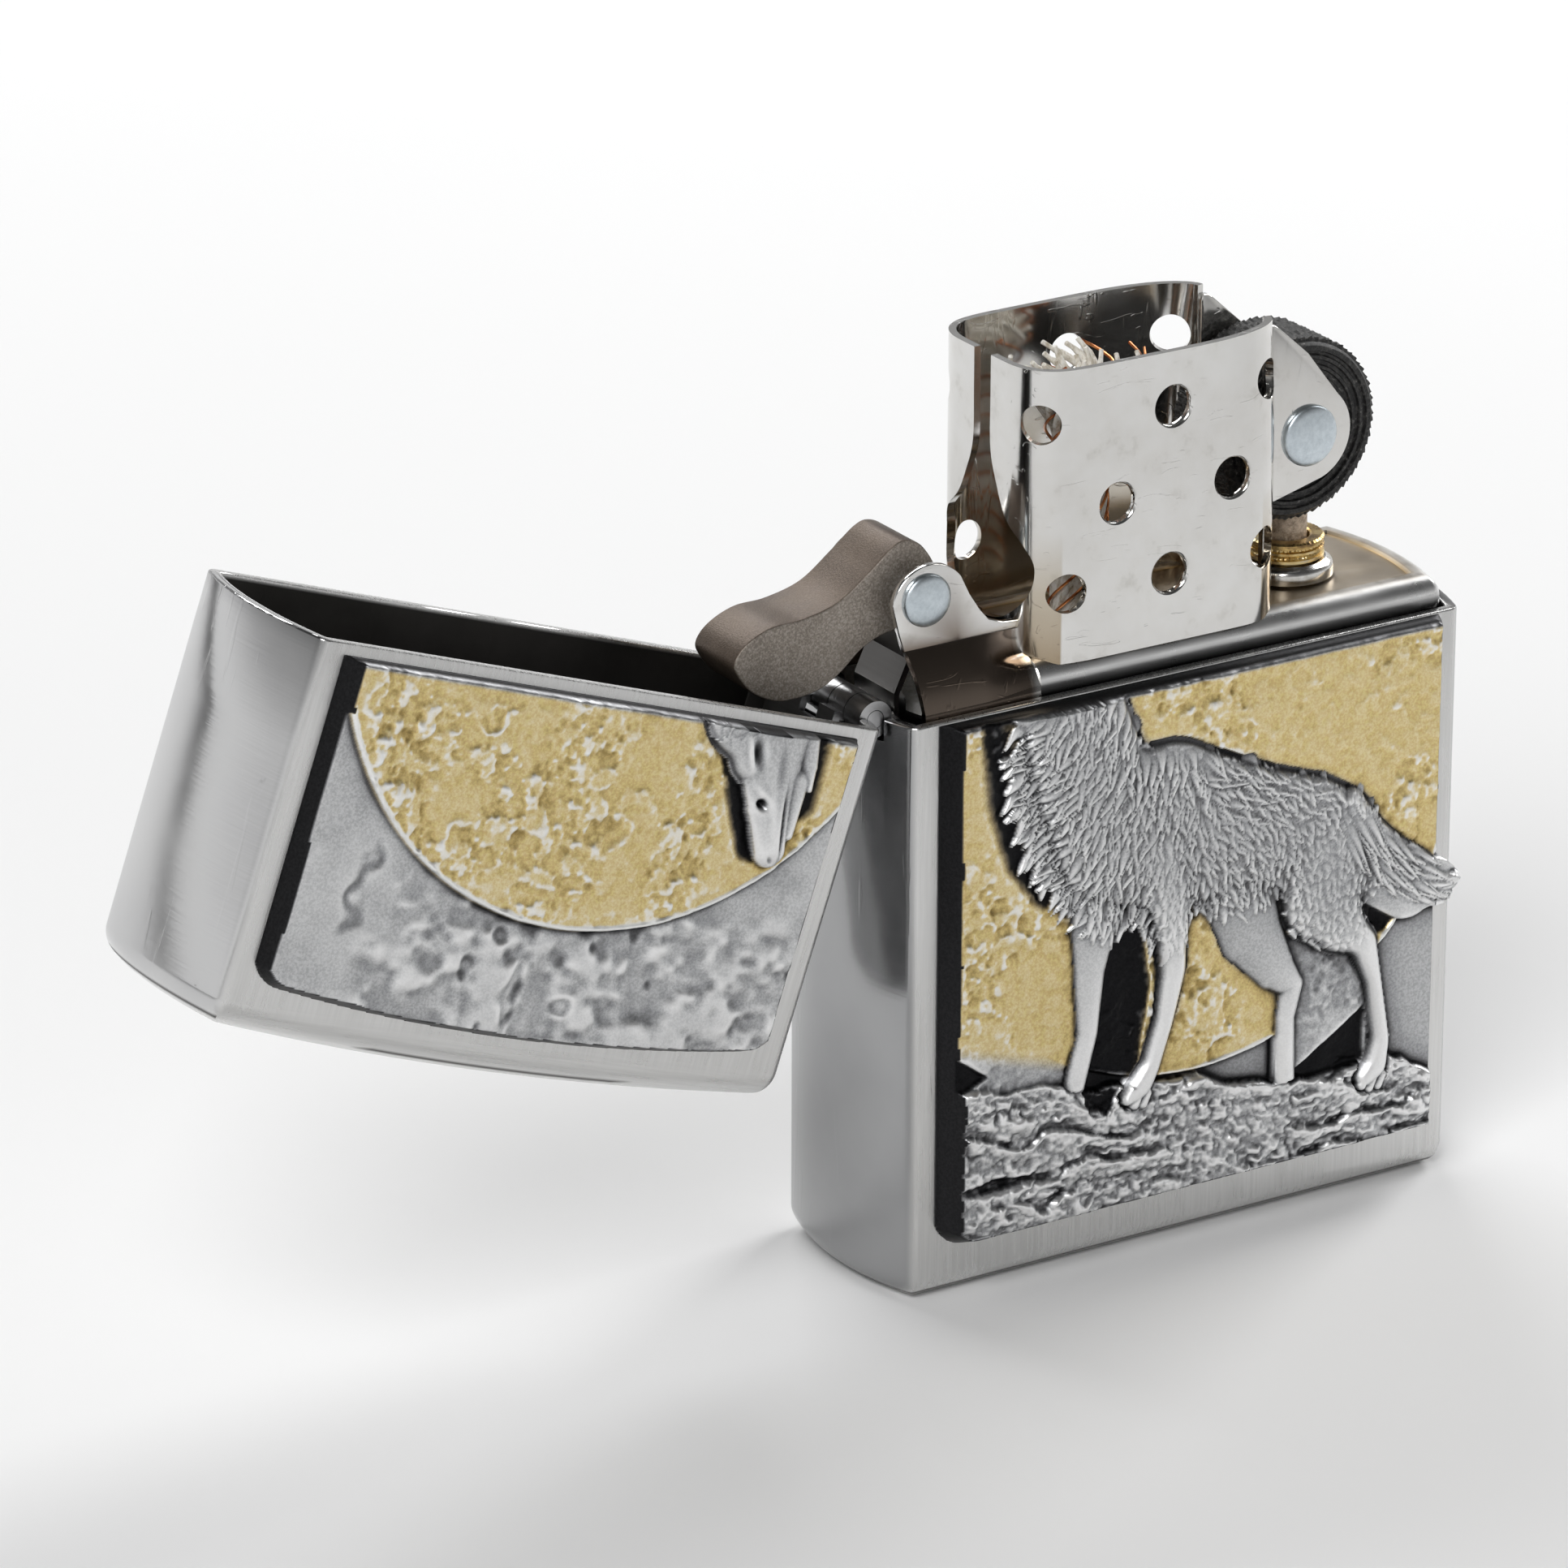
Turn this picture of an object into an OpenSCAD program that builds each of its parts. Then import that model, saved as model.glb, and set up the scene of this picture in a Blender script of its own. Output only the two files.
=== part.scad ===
// Flip-top petrol lighter with its lid open: outer case, hinged lid, lift-out insert.
// Origin at the middle of the case's flat base, +Z up, hinge on the -X side, emblem on the -Y side.

/* [Case and lid] */
// Width of the case at the middle of its bowed ends
case_w = 38.4; // [37:0.1:40]
// Depth of the case, front face to back face
case_d = 12.6; // [12:0.1:13.6]
// Height of the case from its base to the split line
case_h = 34; // [32:0.5:36]
// Height of the closed lighter
closed_h = 56.1; // [55:0.1:58]
// Sheet thickness of the case and lid
wall = 0.68; // [0.5:0.02:0.7]
// Radius of the bowed ends
bow_r = 17; // [15:0.5:24]
// Radius of the upright corners
corner_r = 0.74; // [0.5:0.02:1.2]
// Radius of the rounded edge round the base
base_r = 1.5; // [0.8:0.1:2]
// Radius of the rounded edge round the lid's top
lid_edge_r = 1.5; // [0.8:0.1:2]
// How much higher the lid's top is in the middle than at its ends
lid_dome = 0.9; // [0.2:0.1:1.2]
// Gap between the closed lid and the case
split_gap = 0.1; // [0.05:0.01:0.2]

/* [Hinge] */
// Angle that the lid is opened from closed
lid_open = 160.6; // [0:0.1:160.6]
// Length of the hinge barrel
hinge_len = 8; // [7:0.1:9]
// Outer radius of the hinge knuckles
knuckle_r = 1.05; // [1:0.01:1.1]
// Radius of the hinge pin
hinge_pin_r = 0.5; // [0.4:0.01:0.5]
// Number of knuckles, three on the case and two on the lid
knuckles = 5; // [5:2:5]

/* [Emblem] */
// Thickness of the cast emblem
emblem_t = 1.8; // [1:0.1:2]
// Width of the emblem
emblem_w = 33.2; // [30:0.1:34]

/* [Insert] */
// Depth of the fuel can, front to back
can_d = 11.1; // [10.8:0.1:11.1]
// Sheet thickness of the insert
sheet = 0.42; // [0.3:0.02:0.5]
// Height of the windshield's rim above the case's base
rim_z = 52.2; // [50:0.1:53]
// Height of the insert's top plate above the case's base
plate_z = 35.7; // [35:0.1:36]
// Radius of the draught holes
draught_r = 1.15; // [1:0.05:1.3]
// Radius of the spark wheel
wheel_r = 5.3; // [5:0.1:5.4]
// Width of the spark wheel
wheel_w = 5; // [4.6:0.1:5.2]
// Number of teeth round the spark wheel
wheel_teeth = 60; // [40:2:72]
// Radius of the flint
flint_r = 1.2; // [1:0.05:1.25]
// How far the spring can push the flint back down
flint_travel = 3; // [1:0.5:4]

/* [Hidden] */

running = 0.04;                         // radial running clearance on pins
front_y = -case_d / 2;
hinge_x = -case_w / 2 + 0.1;
hinge_z = case_h + split_gap / 2;
lid_z = case_h + split_gap;
notch_r = knuckle_r + 0.3;
knuckle_gap = 0.08;
knuckle_len = (hinge_len - (knuckles - 1) * knuckle_gap) / knuckles;
knuckle_pitch = knuckle_len + knuckle_gap;
leaf_t = 0.45;

can_left = -17.3;
can_right = 18.3;
can_w = can_right - can_left;
can_mid = (can_left + can_right) / 2;
can_bow = 16.4;
can_corner = 0.7;
can_z = 1.4;                            // open lower edge of the can
seam_z = 33.4;                          // where the windshield stamping meets the can
shoulder_r = 1.2;

shield_left = -9.8;
shield_right = 6.9;
shield_y = can_d / 2 - 0.1;             // outer face of the windshield's flat walls
left_r = 2.25;
right_r = 2.6;
ear_y = 3.4;                            // outer face of the wheel ears
cam_ear_y = 3.5;                        // outer face of the cam ears
wheel_x = 9.5;
wheel_z = 44.85;
wheel_ear_r = 2.85;
wheel_shank_r = 0.9;
cam_x = -15.6;
cam_z = 40.1;
cam_t = 4.1;
cam_shank_r = 0.8;
ear_mid = [-15.3, 39.6];
cam_ear_r = 2.45;

tube_x = 10.5;
tube_top = 37.95;
tube_bottom = 3.4;
tube_out_r = 1.75;
tube_in_r = 1.32;
collar_r = 2.2;
flange_r = 2.75;
flange_h = 0.95;
flint_len = 4.6;
flint_top = wheel_z - sqrt(pow(wheel_r, 2) - pow(tube_x - wheel_x, 2)) - 0.12;
plunger_len = 1.2;
screw_top = 8.5;
coil_top = flint_top - flint_len - plunger_len - 0.08;
coil_bottom = screw_top + 0.08;
wick_x = -3.4;
wick_r = 1.7;

wheel_fn = 64;
shaft_fn = 48;
hole_fn = 40;

// ---- outlines -------------------------------------------------------------------------------

// Upper half of a plan outline with flat sides and bowed ends, from the right end to the left.
function half_outline(w, d, bow, r, ends = 5, flats = 4) =
    let (cx = w / 2 - bow, py = d / 2 - r, px = cx + sqrt(pow(bow - r, 2) - py * py),
         a = atan2(py, px - cx),
         right = concat(
             [for (i = [0 : ends - 1]) let (t = a * (i + 0.5) / ends) [cx + bow * cos(t), bow * sin(t)]],
             [for (i = [0 : 3]) let (t = a + (90 - a) * i / 3) [px + r * cos(t), py + r * sin(t)]]),
         n = len(right))
    concat(right,
           [for (i = [1 : flats]) [px * (1 - 2 * i / (flats + 1)), d / 2]],
           [for (i = [n - 1 : -1 : 0]) [-right[i][0], right[i][1]]]);

function mirrored(half) =
    concat(half, [for (i = [len(half) - 1 : -1 : 0]) [half[i][0], -half[i][1]]]);

// Ring of 3-D points at height z, drawn in by inset and lowered towards the ends by dome.
function ring(w, d, bow, r, inset, z, dome = 0) =
    [for (p = mirrored(half_outline(w - 2 * inset, d - 2 * inset, bow - inset, max(r - inset, 0.12))))
        [p[0], p[1], z - dome * pow(2 * p[0] / w, 2)]];

// Closed curve through points, with steps points on each span.
function smooth_loop(points, steps) =
    let (n = len(points))
    [for (i = [0 : n - 1], s = [0 : steps - 1])
        let (t = s / steps, a = points[(i + n - 1) % n], b = points[i],
             c = points[(i + 1) % n], d = points[(i + 2) % n])
        0.5 * (2 * b + (c - a) * t + (2 * a - 5 * b + 4 * c - d) * t * t
               + (3 * b - 3 * c + d - a) * pow(t, 3))];

// Solid through a stack of rings that have the same number of points, mirrored about the X axis.
module loft(rings) {
    n = len(rings[0]);
    top = (len(rings) - 1) * n;
    sides = [for (i = [0 : len(rings) - 2], j = [0 : n - 1])
        let (a = i * n + j, b = i * n + (j + 1) % n, c = b + n, d = a + n)
        each [[a, d, c], [a, c, b]]];
    bottom_cap = [for (j = [0 : n / 2 - 2]) each [[j, j + 1, n - 2 - j], [j, n - 2 - j, n - 1 - j]]];
    top_cap = [for (f = bottom_cap) [top + f[0], top + f[2], top + f[1]]];
    polyhedron([for (r = rings) each r], concat(sides, bottom_cap, top_cap), convexity = 8);
}

// Plate of a given thickness in the X-Z plane, standing from y upwards.
module upright(y, thick) {
    translate([0, y + thick, 0]) rotate([90, 0, 0]) linear_extrude(thick) children();
}

// Cylinder along Y, centred on y = 0.
module cross_pin(x, z, r, length, fn = shaft_fn) {
    translate([x, length / 2, z]) rotate([90, 0, 0]) cylinder(r = r, h = length, $fn = fn);
}

// Everything on the lid is drawn closed and swung open about the hinge.
module opened() {
    translate([hinge_x, 0, hinge_z]) rotate([0, -lid_open, 0]) translate([-hinge_x, 0, -hinge_z]) children();
}

// ---- case ------------------------------------------------------------------------------------

module case_form(inset, from_z, to_z, edge) {
    steps = 5;
    loft(concat(
        [for (i = [0 : steps]) let (a = 90 * i / steps)
            ring(case_w, case_d, bow_r, corner_r, inset + edge * (1 - sin(a)), from_z + edge * (1 - cos(a)))],
        [ring(case_w, case_d, bow_r, corner_r, inset, to_z)]));
}

module hinge_notch() {
    cross_pin(hinge_x, hinge_z, notch_r, hinge_len + 0.4);
}

module case_body() {
    color("silver") difference() {
        case_form(0, 0, case_h, base_r);
        case_form(wall, wall, case_h + 1, base_r - wall);
        hinge_notch();
    }
}

// Knuckles first, first + 2, ... of the hinge barrel.
module knuckle_set(first) {
    for (k = [first : 2 : knuckles - 1])
        translate([0, (k - (knuckles - 1) / 2) * knuckle_pitch, 0])
            cross_pin(hinge_x, hinge_z, knuckle_r, knuckle_len);
}

// A leaf bends from each of its knuckles to the inside of the wall and runs along it, up or down.
module hinge_leaf(first, up) {
    inner_x = -case_w / 2 + wall + 0.53;
    strap_z = 0.25;
    plate_top = knuckle_r + 0.15;
    leaf_h = up ? 2.2 : 4.6;
    difference() {
        union() {
            knuckle_set(first);
            translate([0, 0, hinge_z]) rotate([up ? 0 : 180, 0, 0]) {
                for (k = [first : 2 : knuckles - 1])
                    translate([0, (k - (knuckles - 1) / 2) * knuckle_pitch - knuckle_len / 2, strap_z]) {
                        translate([hinge_x, 0, 0]) cube([inner_x + leaf_t - hinge_x, knuckle_len, leaf_t]);
                        translate([inner_x, 0, 0]) cube([leaf_t, knuckle_len, plate_top - strap_z + 0.5]);
                    }
                translate([inner_x, -hinge_len / 2, plate_top]) cube([leaf_t, hinge_len, leaf_h]);
            }
        }
        cross_pin(hinge_x, hinge_z, hinge_pin_r + running, hinge_len + 1);
    }
}

module case_hinge_leaf() {
    color("gainsboro") hinge_leaf(0, false);
}

module hinge_pin() {
    color("dimgray") cross_pin(hinge_x, hinge_z, hinge_pin_r, hinge_len);
}

module emblem_plate(low_z, high_z) {
    corner = 1.2;
    upright(front_y - emblem_t, emblem_t)
        hull() for (sx = [-1, 1], z = [low_z + corner, high_z - corner])
            translate([sx * (emblem_w / 2 - corner), z]) circle(r = corner, $fn = 24);
}

module case_emblem() {
    color("tan") emblem_plate(3.1, case_h - 0.1);
}

// ---- lid -------------------------------------------------------------------------------------

module lid_form(inset, from_z, top_z, edge) {
    steps = 5;
    loft(concat(
        [ring(case_w, case_d, bow_r, corner_r, inset, from_z)],
        [for (i = [0 : steps]) let (a = 90 * i / steps)
            ring(case_w, case_d, bow_r, corner_r, inset + edge * (1 - cos(a)),
                 top_z - edge * (1 - sin(a)), lid_dome)]));
}

module lid_shell() {
    color("silver") opened() difference() {
        lid_form(0, lid_z, closed_h, lid_edge_r);
        lid_form(wall, lid_z - 1, closed_h - wall, lid_edge_r - wall);
        hinge_notch();
    }
}

module lid_hinge_leaf() {
    color("gainsboro") opened() hinge_leaf(1, true);
}

module lid_emblem() {
    color("tan") opened() emblem_plate(lid_z + 0.6, closed_h - 2.8);
}

// ---- insert ----------------------------------------------------------------------------------

module can_ring_stack(inset, from_z, to_z) {
    translate([can_mid, 0, 0])
        loft([for (z = [from_z, to_z]) ring(can_w, can_d, can_bow, can_corner, inset, z)]);
}

module fuel_can() {
    color("gainsboro") difference() {
        can_ring_stack(0, can_z, seam_z);
        can_ring_stack(sheet, can_z - 1, seam_z + 1);
    }
}

// Rounded top of the insert, as a shell with a flat plate.
module shoulder_shell() {
    steps = 4;
    module form(inset, from_z, top_z, r) {
        translate([can_mid, 0, 0]) loft(concat(
            [ring(can_w, can_d, can_bow, can_corner, inset, from_z)],
            [for (i = [0 : steps]) let (a = 90 * i / steps)
                ring(can_w, can_d, can_bow, can_corner, inset + r * (1 - cos(a)), top_z - r * (1 - sin(a)))]));
    }
    difference() {
        form(0, seam_z + 0.05, plate_z, shoulder_r);
        form(sheet, seam_z - 1, plate_z - sheet, shoulder_r - sheet);
    }
}

module shield_outline(inset) {
    hull() {
        for (s = [-1, 1]) {
            translate([shield_left + left_r, s * (shield_y - left_r)]) circle(r = left_r - inset, $fn = 48);
            translate([shield_right - right_r, s * (shield_y - right_r)]) circle(r = right_r - inset, $fn = 48);
        }
    }
}

// Holes punched square to the wall, two rows of three with one of two between them.
module draught_holes() {
    holes = [[-9.45, 49.13], [-0.95, 49.05], [6.05, 49.2], [-4.5, 44.12], [3.07, 44.2],
             [-7.6, 39.43], [-1, 39.42], [5.5, 39.6]];
    flat_left = shield_left + left_r;
    flat_right = shield_right - right_r;
    for (s = [-1, 1], hole = holes) {
        at = hole[0];
        bend_left = max(flat_left - at, 0) / left_r * 180 / PI;
        bend_right = max(at - flat_right, 0) / right_r * 180 / PI;
        bend = bend_right - bend_left;
        r = bend < 0 ? left_r : right_r;
        x = min(max(at, flat_left), flat_right) + r * sin(bend);
        y = shield_y - r + r * cos(bend);
        translate([x, s * y, hole[1]]) rotate([90, 0, -s * bend])
            cylinder(r = draught_r, h = 2, center = true, $fn = hole_fn);
    }
}

// Slot that widens into a round opening in the end of the windshield.
module keyhole() {
    slot_half = 0.8;
    round_z = 40.9;
    round_r = 3.3;
    slot_foot_z = 47.5;
    translate([shield_left - 1, 0, 0]) rotate([90, 0, 90]) linear_extrude(4) union() {
        translate([-slot_half, round_z]) square([2 * slot_half, rim_z]);
        translate([0, round_z]) circle(r = round_r, $fn = 48);
        polygon([[-round_r * 0.95, round_z + 1.2], [round_r * 0.95, round_z + 1.2],
                 [1.75, 44.6], [slot_half, slot_foot_z], [-slot_half, slot_foot_z], [-1.75, 44.6]]);
    }
}

module wheel_ears() {
    for (y = [-ear_y, ear_y - sheet]) upright(y, sheet) union() {
        translate([wheel_x, wheel_z]) circle(r = wheel_ear_r, $fn = shaft_fn);
        polygon([[shield_right - 0.6, rim_z - 0.2], [shield_right + 0.3, rim_z - 0.6],
                 [wheel_x + wheel_ear_r * cos(44), wheel_z + wheel_ear_r * sin(44)],
                 [wheel_x + wheel_ear_r * cos(-72), wheel_z + wheel_ear_r * sin(-72)],
                 [shield_right - 0.6, 41.3]]);
    }
}

module cam_ears() {
    foot_z = 37.4;
    for (s = [-1, 1]) {
        upright(s > 0 ? cam_ear_y - sheet : -cam_ear_y, sheet) union() {
            translate(ear_mid) circle(r = cam_ear_r, $fn = shaft_fn);
            polygon([[ear_mid[0] + cam_ear_r * cos(170), ear_mid[1] + cam_ear_r * sin(170)],
                     [can_left + 0.4, foot_z - sheet], [shield_left + 0.5, foot_z - sheet],
                     [shield_left + 0.5, foot_z + 0.4],
                     [ear_mid[0] + cam_ear_r * cos(38), ear_mid[1] + cam_ear_r * sin(38)]]);
        }
        // sloping shoulder from the ear down to the can
        translate([can_left + 0.4, 0, 0]) rotate([90, 0, 90]) linear_extrude(shield_left + 0.5 - can_left - 0.4)
            polygon([for (p = [[can_d / 2, seam_z + 0.05], [can_d / 2, case_h + 0.3], [cam_ear_y, foot_z],
                               [cam_ear_y - sheet, foot_z - sheet / 2], [can_d / 2 - sheet, case_h + 0.1],
                               [can_d / 2 - sheet, seam_z + 0.05]]) [s * p[0], p[1]]]);
    }
}

module windshield() {
    color("whitesmoke") difference() {
        union() {
            // shoulders and top plate, cut away round the cam's slot
            difference() {
                shoulder_shell();
                translate([can_left + 0.4, -can_d, case_h - 0.2])
                    cube([shield_left - can_left - 0.4, 2 * can_d, 5]);
                translate([can_left - 1, -cam_ear_y + sheet, seam_z - 1])
                    cube([shield_left - can_left + 0.6, 2 * (cam_ear_y - sheet), 9]);
            }
            // chimney wall
            translate([0, 0, plate_z - 2 * sheet]) linear_extrude(rim_z - plate_z + 2 * sheet) difference() {
                shield_outline(0);
                shield_outline(sheet);
                translate([shield_right - 1.6, -ear_y + sheet]) square([4, 2 * (ear_y - sheet)]);
            }
            wheel_ears();
            cam_ears();
        }
        draught_holes();
        keyhole();
        cross_pin(wheel_x, wheel_z, wheel_shank_r, 2 * ear_y + 1);
        cross_pin(cam_x, cam_z, cam_shank_r, 2 * cam_ear_y + 1);
        translate([wick_x, 0, plate_z - 3]) cylinder(r = wick_r + 0.1, h = 6, $fn = hole_fn);
        translate([tube_x, 0, plate_z - 3]) cylinder(r = tube_out_r, h = 6, $fn = hole_fn);
    }
}

// Leaf spring up the hinge end of the can, bent over under the cam.
module cam_spring() {
    spring_w = 4;
    spring_t = 0.32;
    x = can_left + sheet + 0.26;
    color("lightslategray") difference() {
        upright(-spring_w / 2, spring_w) difference() {
            polygon([[x, 8], [x + spring_t, 8], [x + spring_t, 34.2], [x + 1.1, 35.9], [x + 4.5, 36.9],
                     [x + 4.45, 36.9 + spring_t], [x + 0.85, 35.9 + spring_t], [x, 34.4]]);
        }
        translate([x - 1, 0, 11]) rotate([0, 90, 0]) cylinder(r = 0.7, h = 3, $fn = hole_fn);
    }
}

module cam_spring_rivet() {
    x = can_left + sheet + 0.26;
    color("silver") translate([x - 0.1, 0, 11]) rotate([0, 90, 0]) {
        cylinder(r = 0.7, h = 0.9, $fn = shaft_fn);
        translate([0, 0, 0.42]) cylinder(r1 = 1.4, r2 = 1, h = 0.5, $fn = shaft_fn);
    }
}

// Shank through both ears with a domed head on each side.
module rivet(x, z, shank, half_span, head_r, head_t) {
    cross_pin(x, z, shank, 2 * half_span);
    for (s = [-1, 1]) translate([x, s * half_span, z]) rotate([-90 * s, 0, 0])
        rotate_extrude($fn = shaft_fn)
            polygon([[0, 0], [head_r, 0], for (a = [0 : 15 : 75]) [head_r * (0.8 + 0.2 * cos(a)) * cos(a * 0.8),
                     head_t * (0.35 + 0.65 * sin(a))], [0, head_t]]);
}

module cam_rivet() {
    color("lightsteelblue") rivet(cam_x, cam_z, cam_shank_r, cam_ear_y, 1.5, 0.55);
}

module wheel_rivet() {
    color("lightsteelblue") rivet(wheel_x, wheel_z, wheel_shank_r, ear_y, 1.76, 0.6);
}

module flint_tube() {
    color("darkgoldenrod") translate([tube_x, 0, 0]) difference() {
        union() {
            translate([0, 0, tube_bottom]) cylinder(r = tube_out_r, h = tube_top - tube_bottom, $fn = shaft_fn);
            translate([0, 0, plate_z + flange_h])
                cylinder(r = collar_r, h = tube_top - plate_z - flange_h, $fn = shaft_fn);
        }
        translate([0, 0, tube_bottom - 1]) cylinder(r = tube_in_r, h = 50, $fn = hole_fn);
    }
}

module tube_collar() {
    color("silver") translate([tube_x, 0, plate_z]) difference() {
        cylinder(r = flange_r, h = flange_h, $fn = shaft_fn);
        translate([0, 0, -1]) cylinder(r = tube_out_r, h = 3, $fn = hole_fn);
    }
}

module wick() {
    color("ivory") difference() {
        union() {
            translate([wick_x, 0, 22]) cylinder(r = wick_r, h = 27, $fn = hole_fn);
            translate([wick_x, 0, 49]) scale([1.6, 1, 1]) cylinder(r = wick_r, h = 1.6, $fn = 24);
        }
        wire_at = [wick_x, 0, 21];
        translate(wire_at) cylinder(r = 0.32, h = 40, $fn = hole_fn);
    }
}

module wick_wire() {
    color("chocolate") translate([wick_x, 0, 22]) cylinder(r = 0.3, h = 28.4, $fn = 24);
}

// Wads of cotton in the can, round the wick and the flint tube.
module cotton_packing() {
    wads = 4;
    low_z = 6.3;
    high_z = 33;
    wad_h = (high_z - low_z) / wads;
    color("snow") for (k = [0 : wads - 1]) difference() {
        translate([can_mid, 0, 0]) loft([for (z = [low_z + k * wad_h + 0.1, low_z + (k + 1) * wad_h - 0.1])
            ring(can_w - 5, can_d - 2 * sheet - 0.4, can_bow, can_corner, 0, z)]);
        translate([tube_x, 0, 0]) cylinder(r = tube_out_r + 0.15, h = 50, $fn = hole_fn);
        translate([wick_x, 0, 0]) cylinder(r = wick_r + 0.15, h = 50, $fn = hole_fn);
    }
}

module felt_pad() {
    color("whitesmoke") difference() {
        translate([can_mid, 0, 0]) loft([for (z = [can_z + 0.9, can_z + 4.6])
            ring(can_w - 2 * sheet - 0.3, can_d - 2 * sheet - 0.3, can_bow, can_corner, 0, z)]);
        translate([tube_x, 0, 0]) cylinder(r = 3, h = 50, $fn = hole_fn);
    }
}

// ---- moving pieces of the insert ---------------------------------------------------------------

module cam_lever() {
    outline = [[-26.8, 38.2], [-26, 39.1], [-24.4, 39.75], [-22.4, 39.85], [-20.2, 40.4], [-18.3, 41.7],
               [-16.8, 42.85], [-15.9, 43.1], [-14.9, 42.6], [-14, 41.2], [-13.7, 39.8], [-14.2, 38.7],
               [-15.6, 38.1], [-17.2, 38], [-18.7, 37.4], [-20.2, 36.2], [-21.7, 35.5], [-23.9, 35.4],
               [-25.6, 36.2], [-26.6, 37.4]];
    color("rosybrown") difference() {
        upright(-cam_t / 2, cam_t) polygon(smooth_loop(outline, 4));
        cross_pin(cam_x, cam_z, cam_shank_r + running, cam_t + 1);
    }
}

module spark_wheel() {
    tooth = 0.22;
    rim_w = 0.6;
    color("dimgray") difference() {
        union() {
            // toothed band
            upright(-wheel_w / 2 + rim_w, wheel_w - 2 * rim_w) translate([wheel_x, wheel_z])
                polygon([for (i = [0 : 2 * wheel_teeth - 1]) let (a = 180 * i / wheel_teeth,
                    r = wheel_r - (i % 2) * tooth) [r * cos(a), r * sin(a)]]);
            // plain rims either side
            cross_pin(wheel_x, wheel_z, wheel_r - 0.45, wheel_w, wheel_fn);
        }
        cross_pin(wheel_x, wheel_z, wheel_shank_r + running, wheel_w + 1);
        for (s = [-1, 1]) translate([wheel_x, s * wheel_w / 2, wheel_z]) rotate([90, 0, 0])
            difference() {
                cylinder(r = wheel_r - 1.1, h = 0.5, center = true, $fn = wheel_fn);
                cylinder(r = 2.2, h = 1, center = true, $fn = wheel_fn);
            }
    }
}

module flint() {
    color("darkgray") translate([tube_x, 0, flint_top - flint_len])
        cylinder(r = flint_r, h = flint_len, $fn = shaft_fn);
}

module flint_plunger() {
    color("gold") translate([tube_x, 0, flint_top - flint_len - plunger_len])
        cylinder(r = flint_r, h = plunger_len, $fn = shaft_fn);
}

// Helical spring as one swept tube.
module flint_spring() {
    turns = 14;
    per_turn = 14;
    wire_r = 0.16;
    coil_r = 0.95;
    rise = coil_top - coil_bottom - 2 * wire_r;
    count = turns * per_turn;
    function centre(i) = [coil_r * cos(360 * i / per_turn), coil_r * sin(360 * i / per_turn), rise * i / count];
    points = [for (i = [0 : count], k = [0 : 5]) let (a = 360 * i / per_turn, b = 60 * k)
        centre(i) + wire_r * [cos(b) * cos(a), cos(b) * sin(a), sin(b)]];
    sides = [for (i = [0 : count - 1], k = [0 : 5])
        let (a = i * 6 + k, b = i * 6 + (k + 1) % 6) each [[a, b, b + 6], [a, b + 6, a + 6]]];
    ends = [[for (k = [5 : -1 : 0]) k], [for (k = [0 : 5]) count * 6 + k]];
    color("slategray") translate([tube_x, 0, coil_bottom + wire_r])
        polyhedron(points, concat(sides, ends), convexity = 10);
}

module flint_screw() {
    head_r = 2.4;
    head_h = 1.1;
    color("goldenrod") translate([tube_x, 0, 0]) difference() {
        union() {
            translate([0, 0, tube_bottom - head_h - 0.05]) cylinder(r = head_r, h = head_h, $fn = shaft_fn);
            translate([0, 0, tube_bottom - 0.5])
                cylinder(r = tube_in_r - 0.06, h = screw_top - tube_bottom + 0.5, $fn = shaft_fn);
        }
        translate([-3, -0.3, tube_bottom - head_h - 0.6]) cube([6, 0.6, 1]);
    }
}

case_body();
case_hinge_leaf();
hinge_pin();
case_emblem();
lid_shell();
lid_hinge_leaf();
lid_emblem();
fuel_can();
windshield();
cam_spring();
cam_spring_rivet();
cam_rivet();
wheel_rivet();
flint_tube();
tube_collar();
wick();
wick_wire();
cotton_packing();
felt_pad();
cam_lever();
spark_wheel();
flint();
flint_plunger();
flint_spring();
flint_screw();
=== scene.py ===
import math
import bmesh
import bpy
import numpy as np
from mathutils import Matrix, Vector


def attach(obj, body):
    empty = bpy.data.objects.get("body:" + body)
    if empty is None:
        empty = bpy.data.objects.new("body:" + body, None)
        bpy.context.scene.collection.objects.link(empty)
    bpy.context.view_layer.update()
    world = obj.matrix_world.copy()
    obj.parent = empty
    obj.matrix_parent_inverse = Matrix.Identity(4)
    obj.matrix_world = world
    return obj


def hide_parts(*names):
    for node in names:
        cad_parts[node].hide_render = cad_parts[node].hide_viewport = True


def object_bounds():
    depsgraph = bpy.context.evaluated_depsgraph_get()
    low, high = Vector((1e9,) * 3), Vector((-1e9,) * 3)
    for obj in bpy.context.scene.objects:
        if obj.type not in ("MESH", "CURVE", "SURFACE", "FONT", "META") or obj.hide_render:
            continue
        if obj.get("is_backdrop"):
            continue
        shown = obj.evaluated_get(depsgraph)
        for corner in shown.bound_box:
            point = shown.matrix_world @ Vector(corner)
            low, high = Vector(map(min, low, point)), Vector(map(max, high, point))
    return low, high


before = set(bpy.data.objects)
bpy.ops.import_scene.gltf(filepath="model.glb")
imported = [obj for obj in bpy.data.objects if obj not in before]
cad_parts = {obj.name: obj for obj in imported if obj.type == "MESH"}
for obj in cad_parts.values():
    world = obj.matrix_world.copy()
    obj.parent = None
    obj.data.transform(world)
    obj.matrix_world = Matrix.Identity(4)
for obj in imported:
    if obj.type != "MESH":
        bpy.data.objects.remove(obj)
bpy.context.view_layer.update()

# Sizes are in millimetres, in the CAD frame; make() turns them into metres.
MM = 0.001
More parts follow.
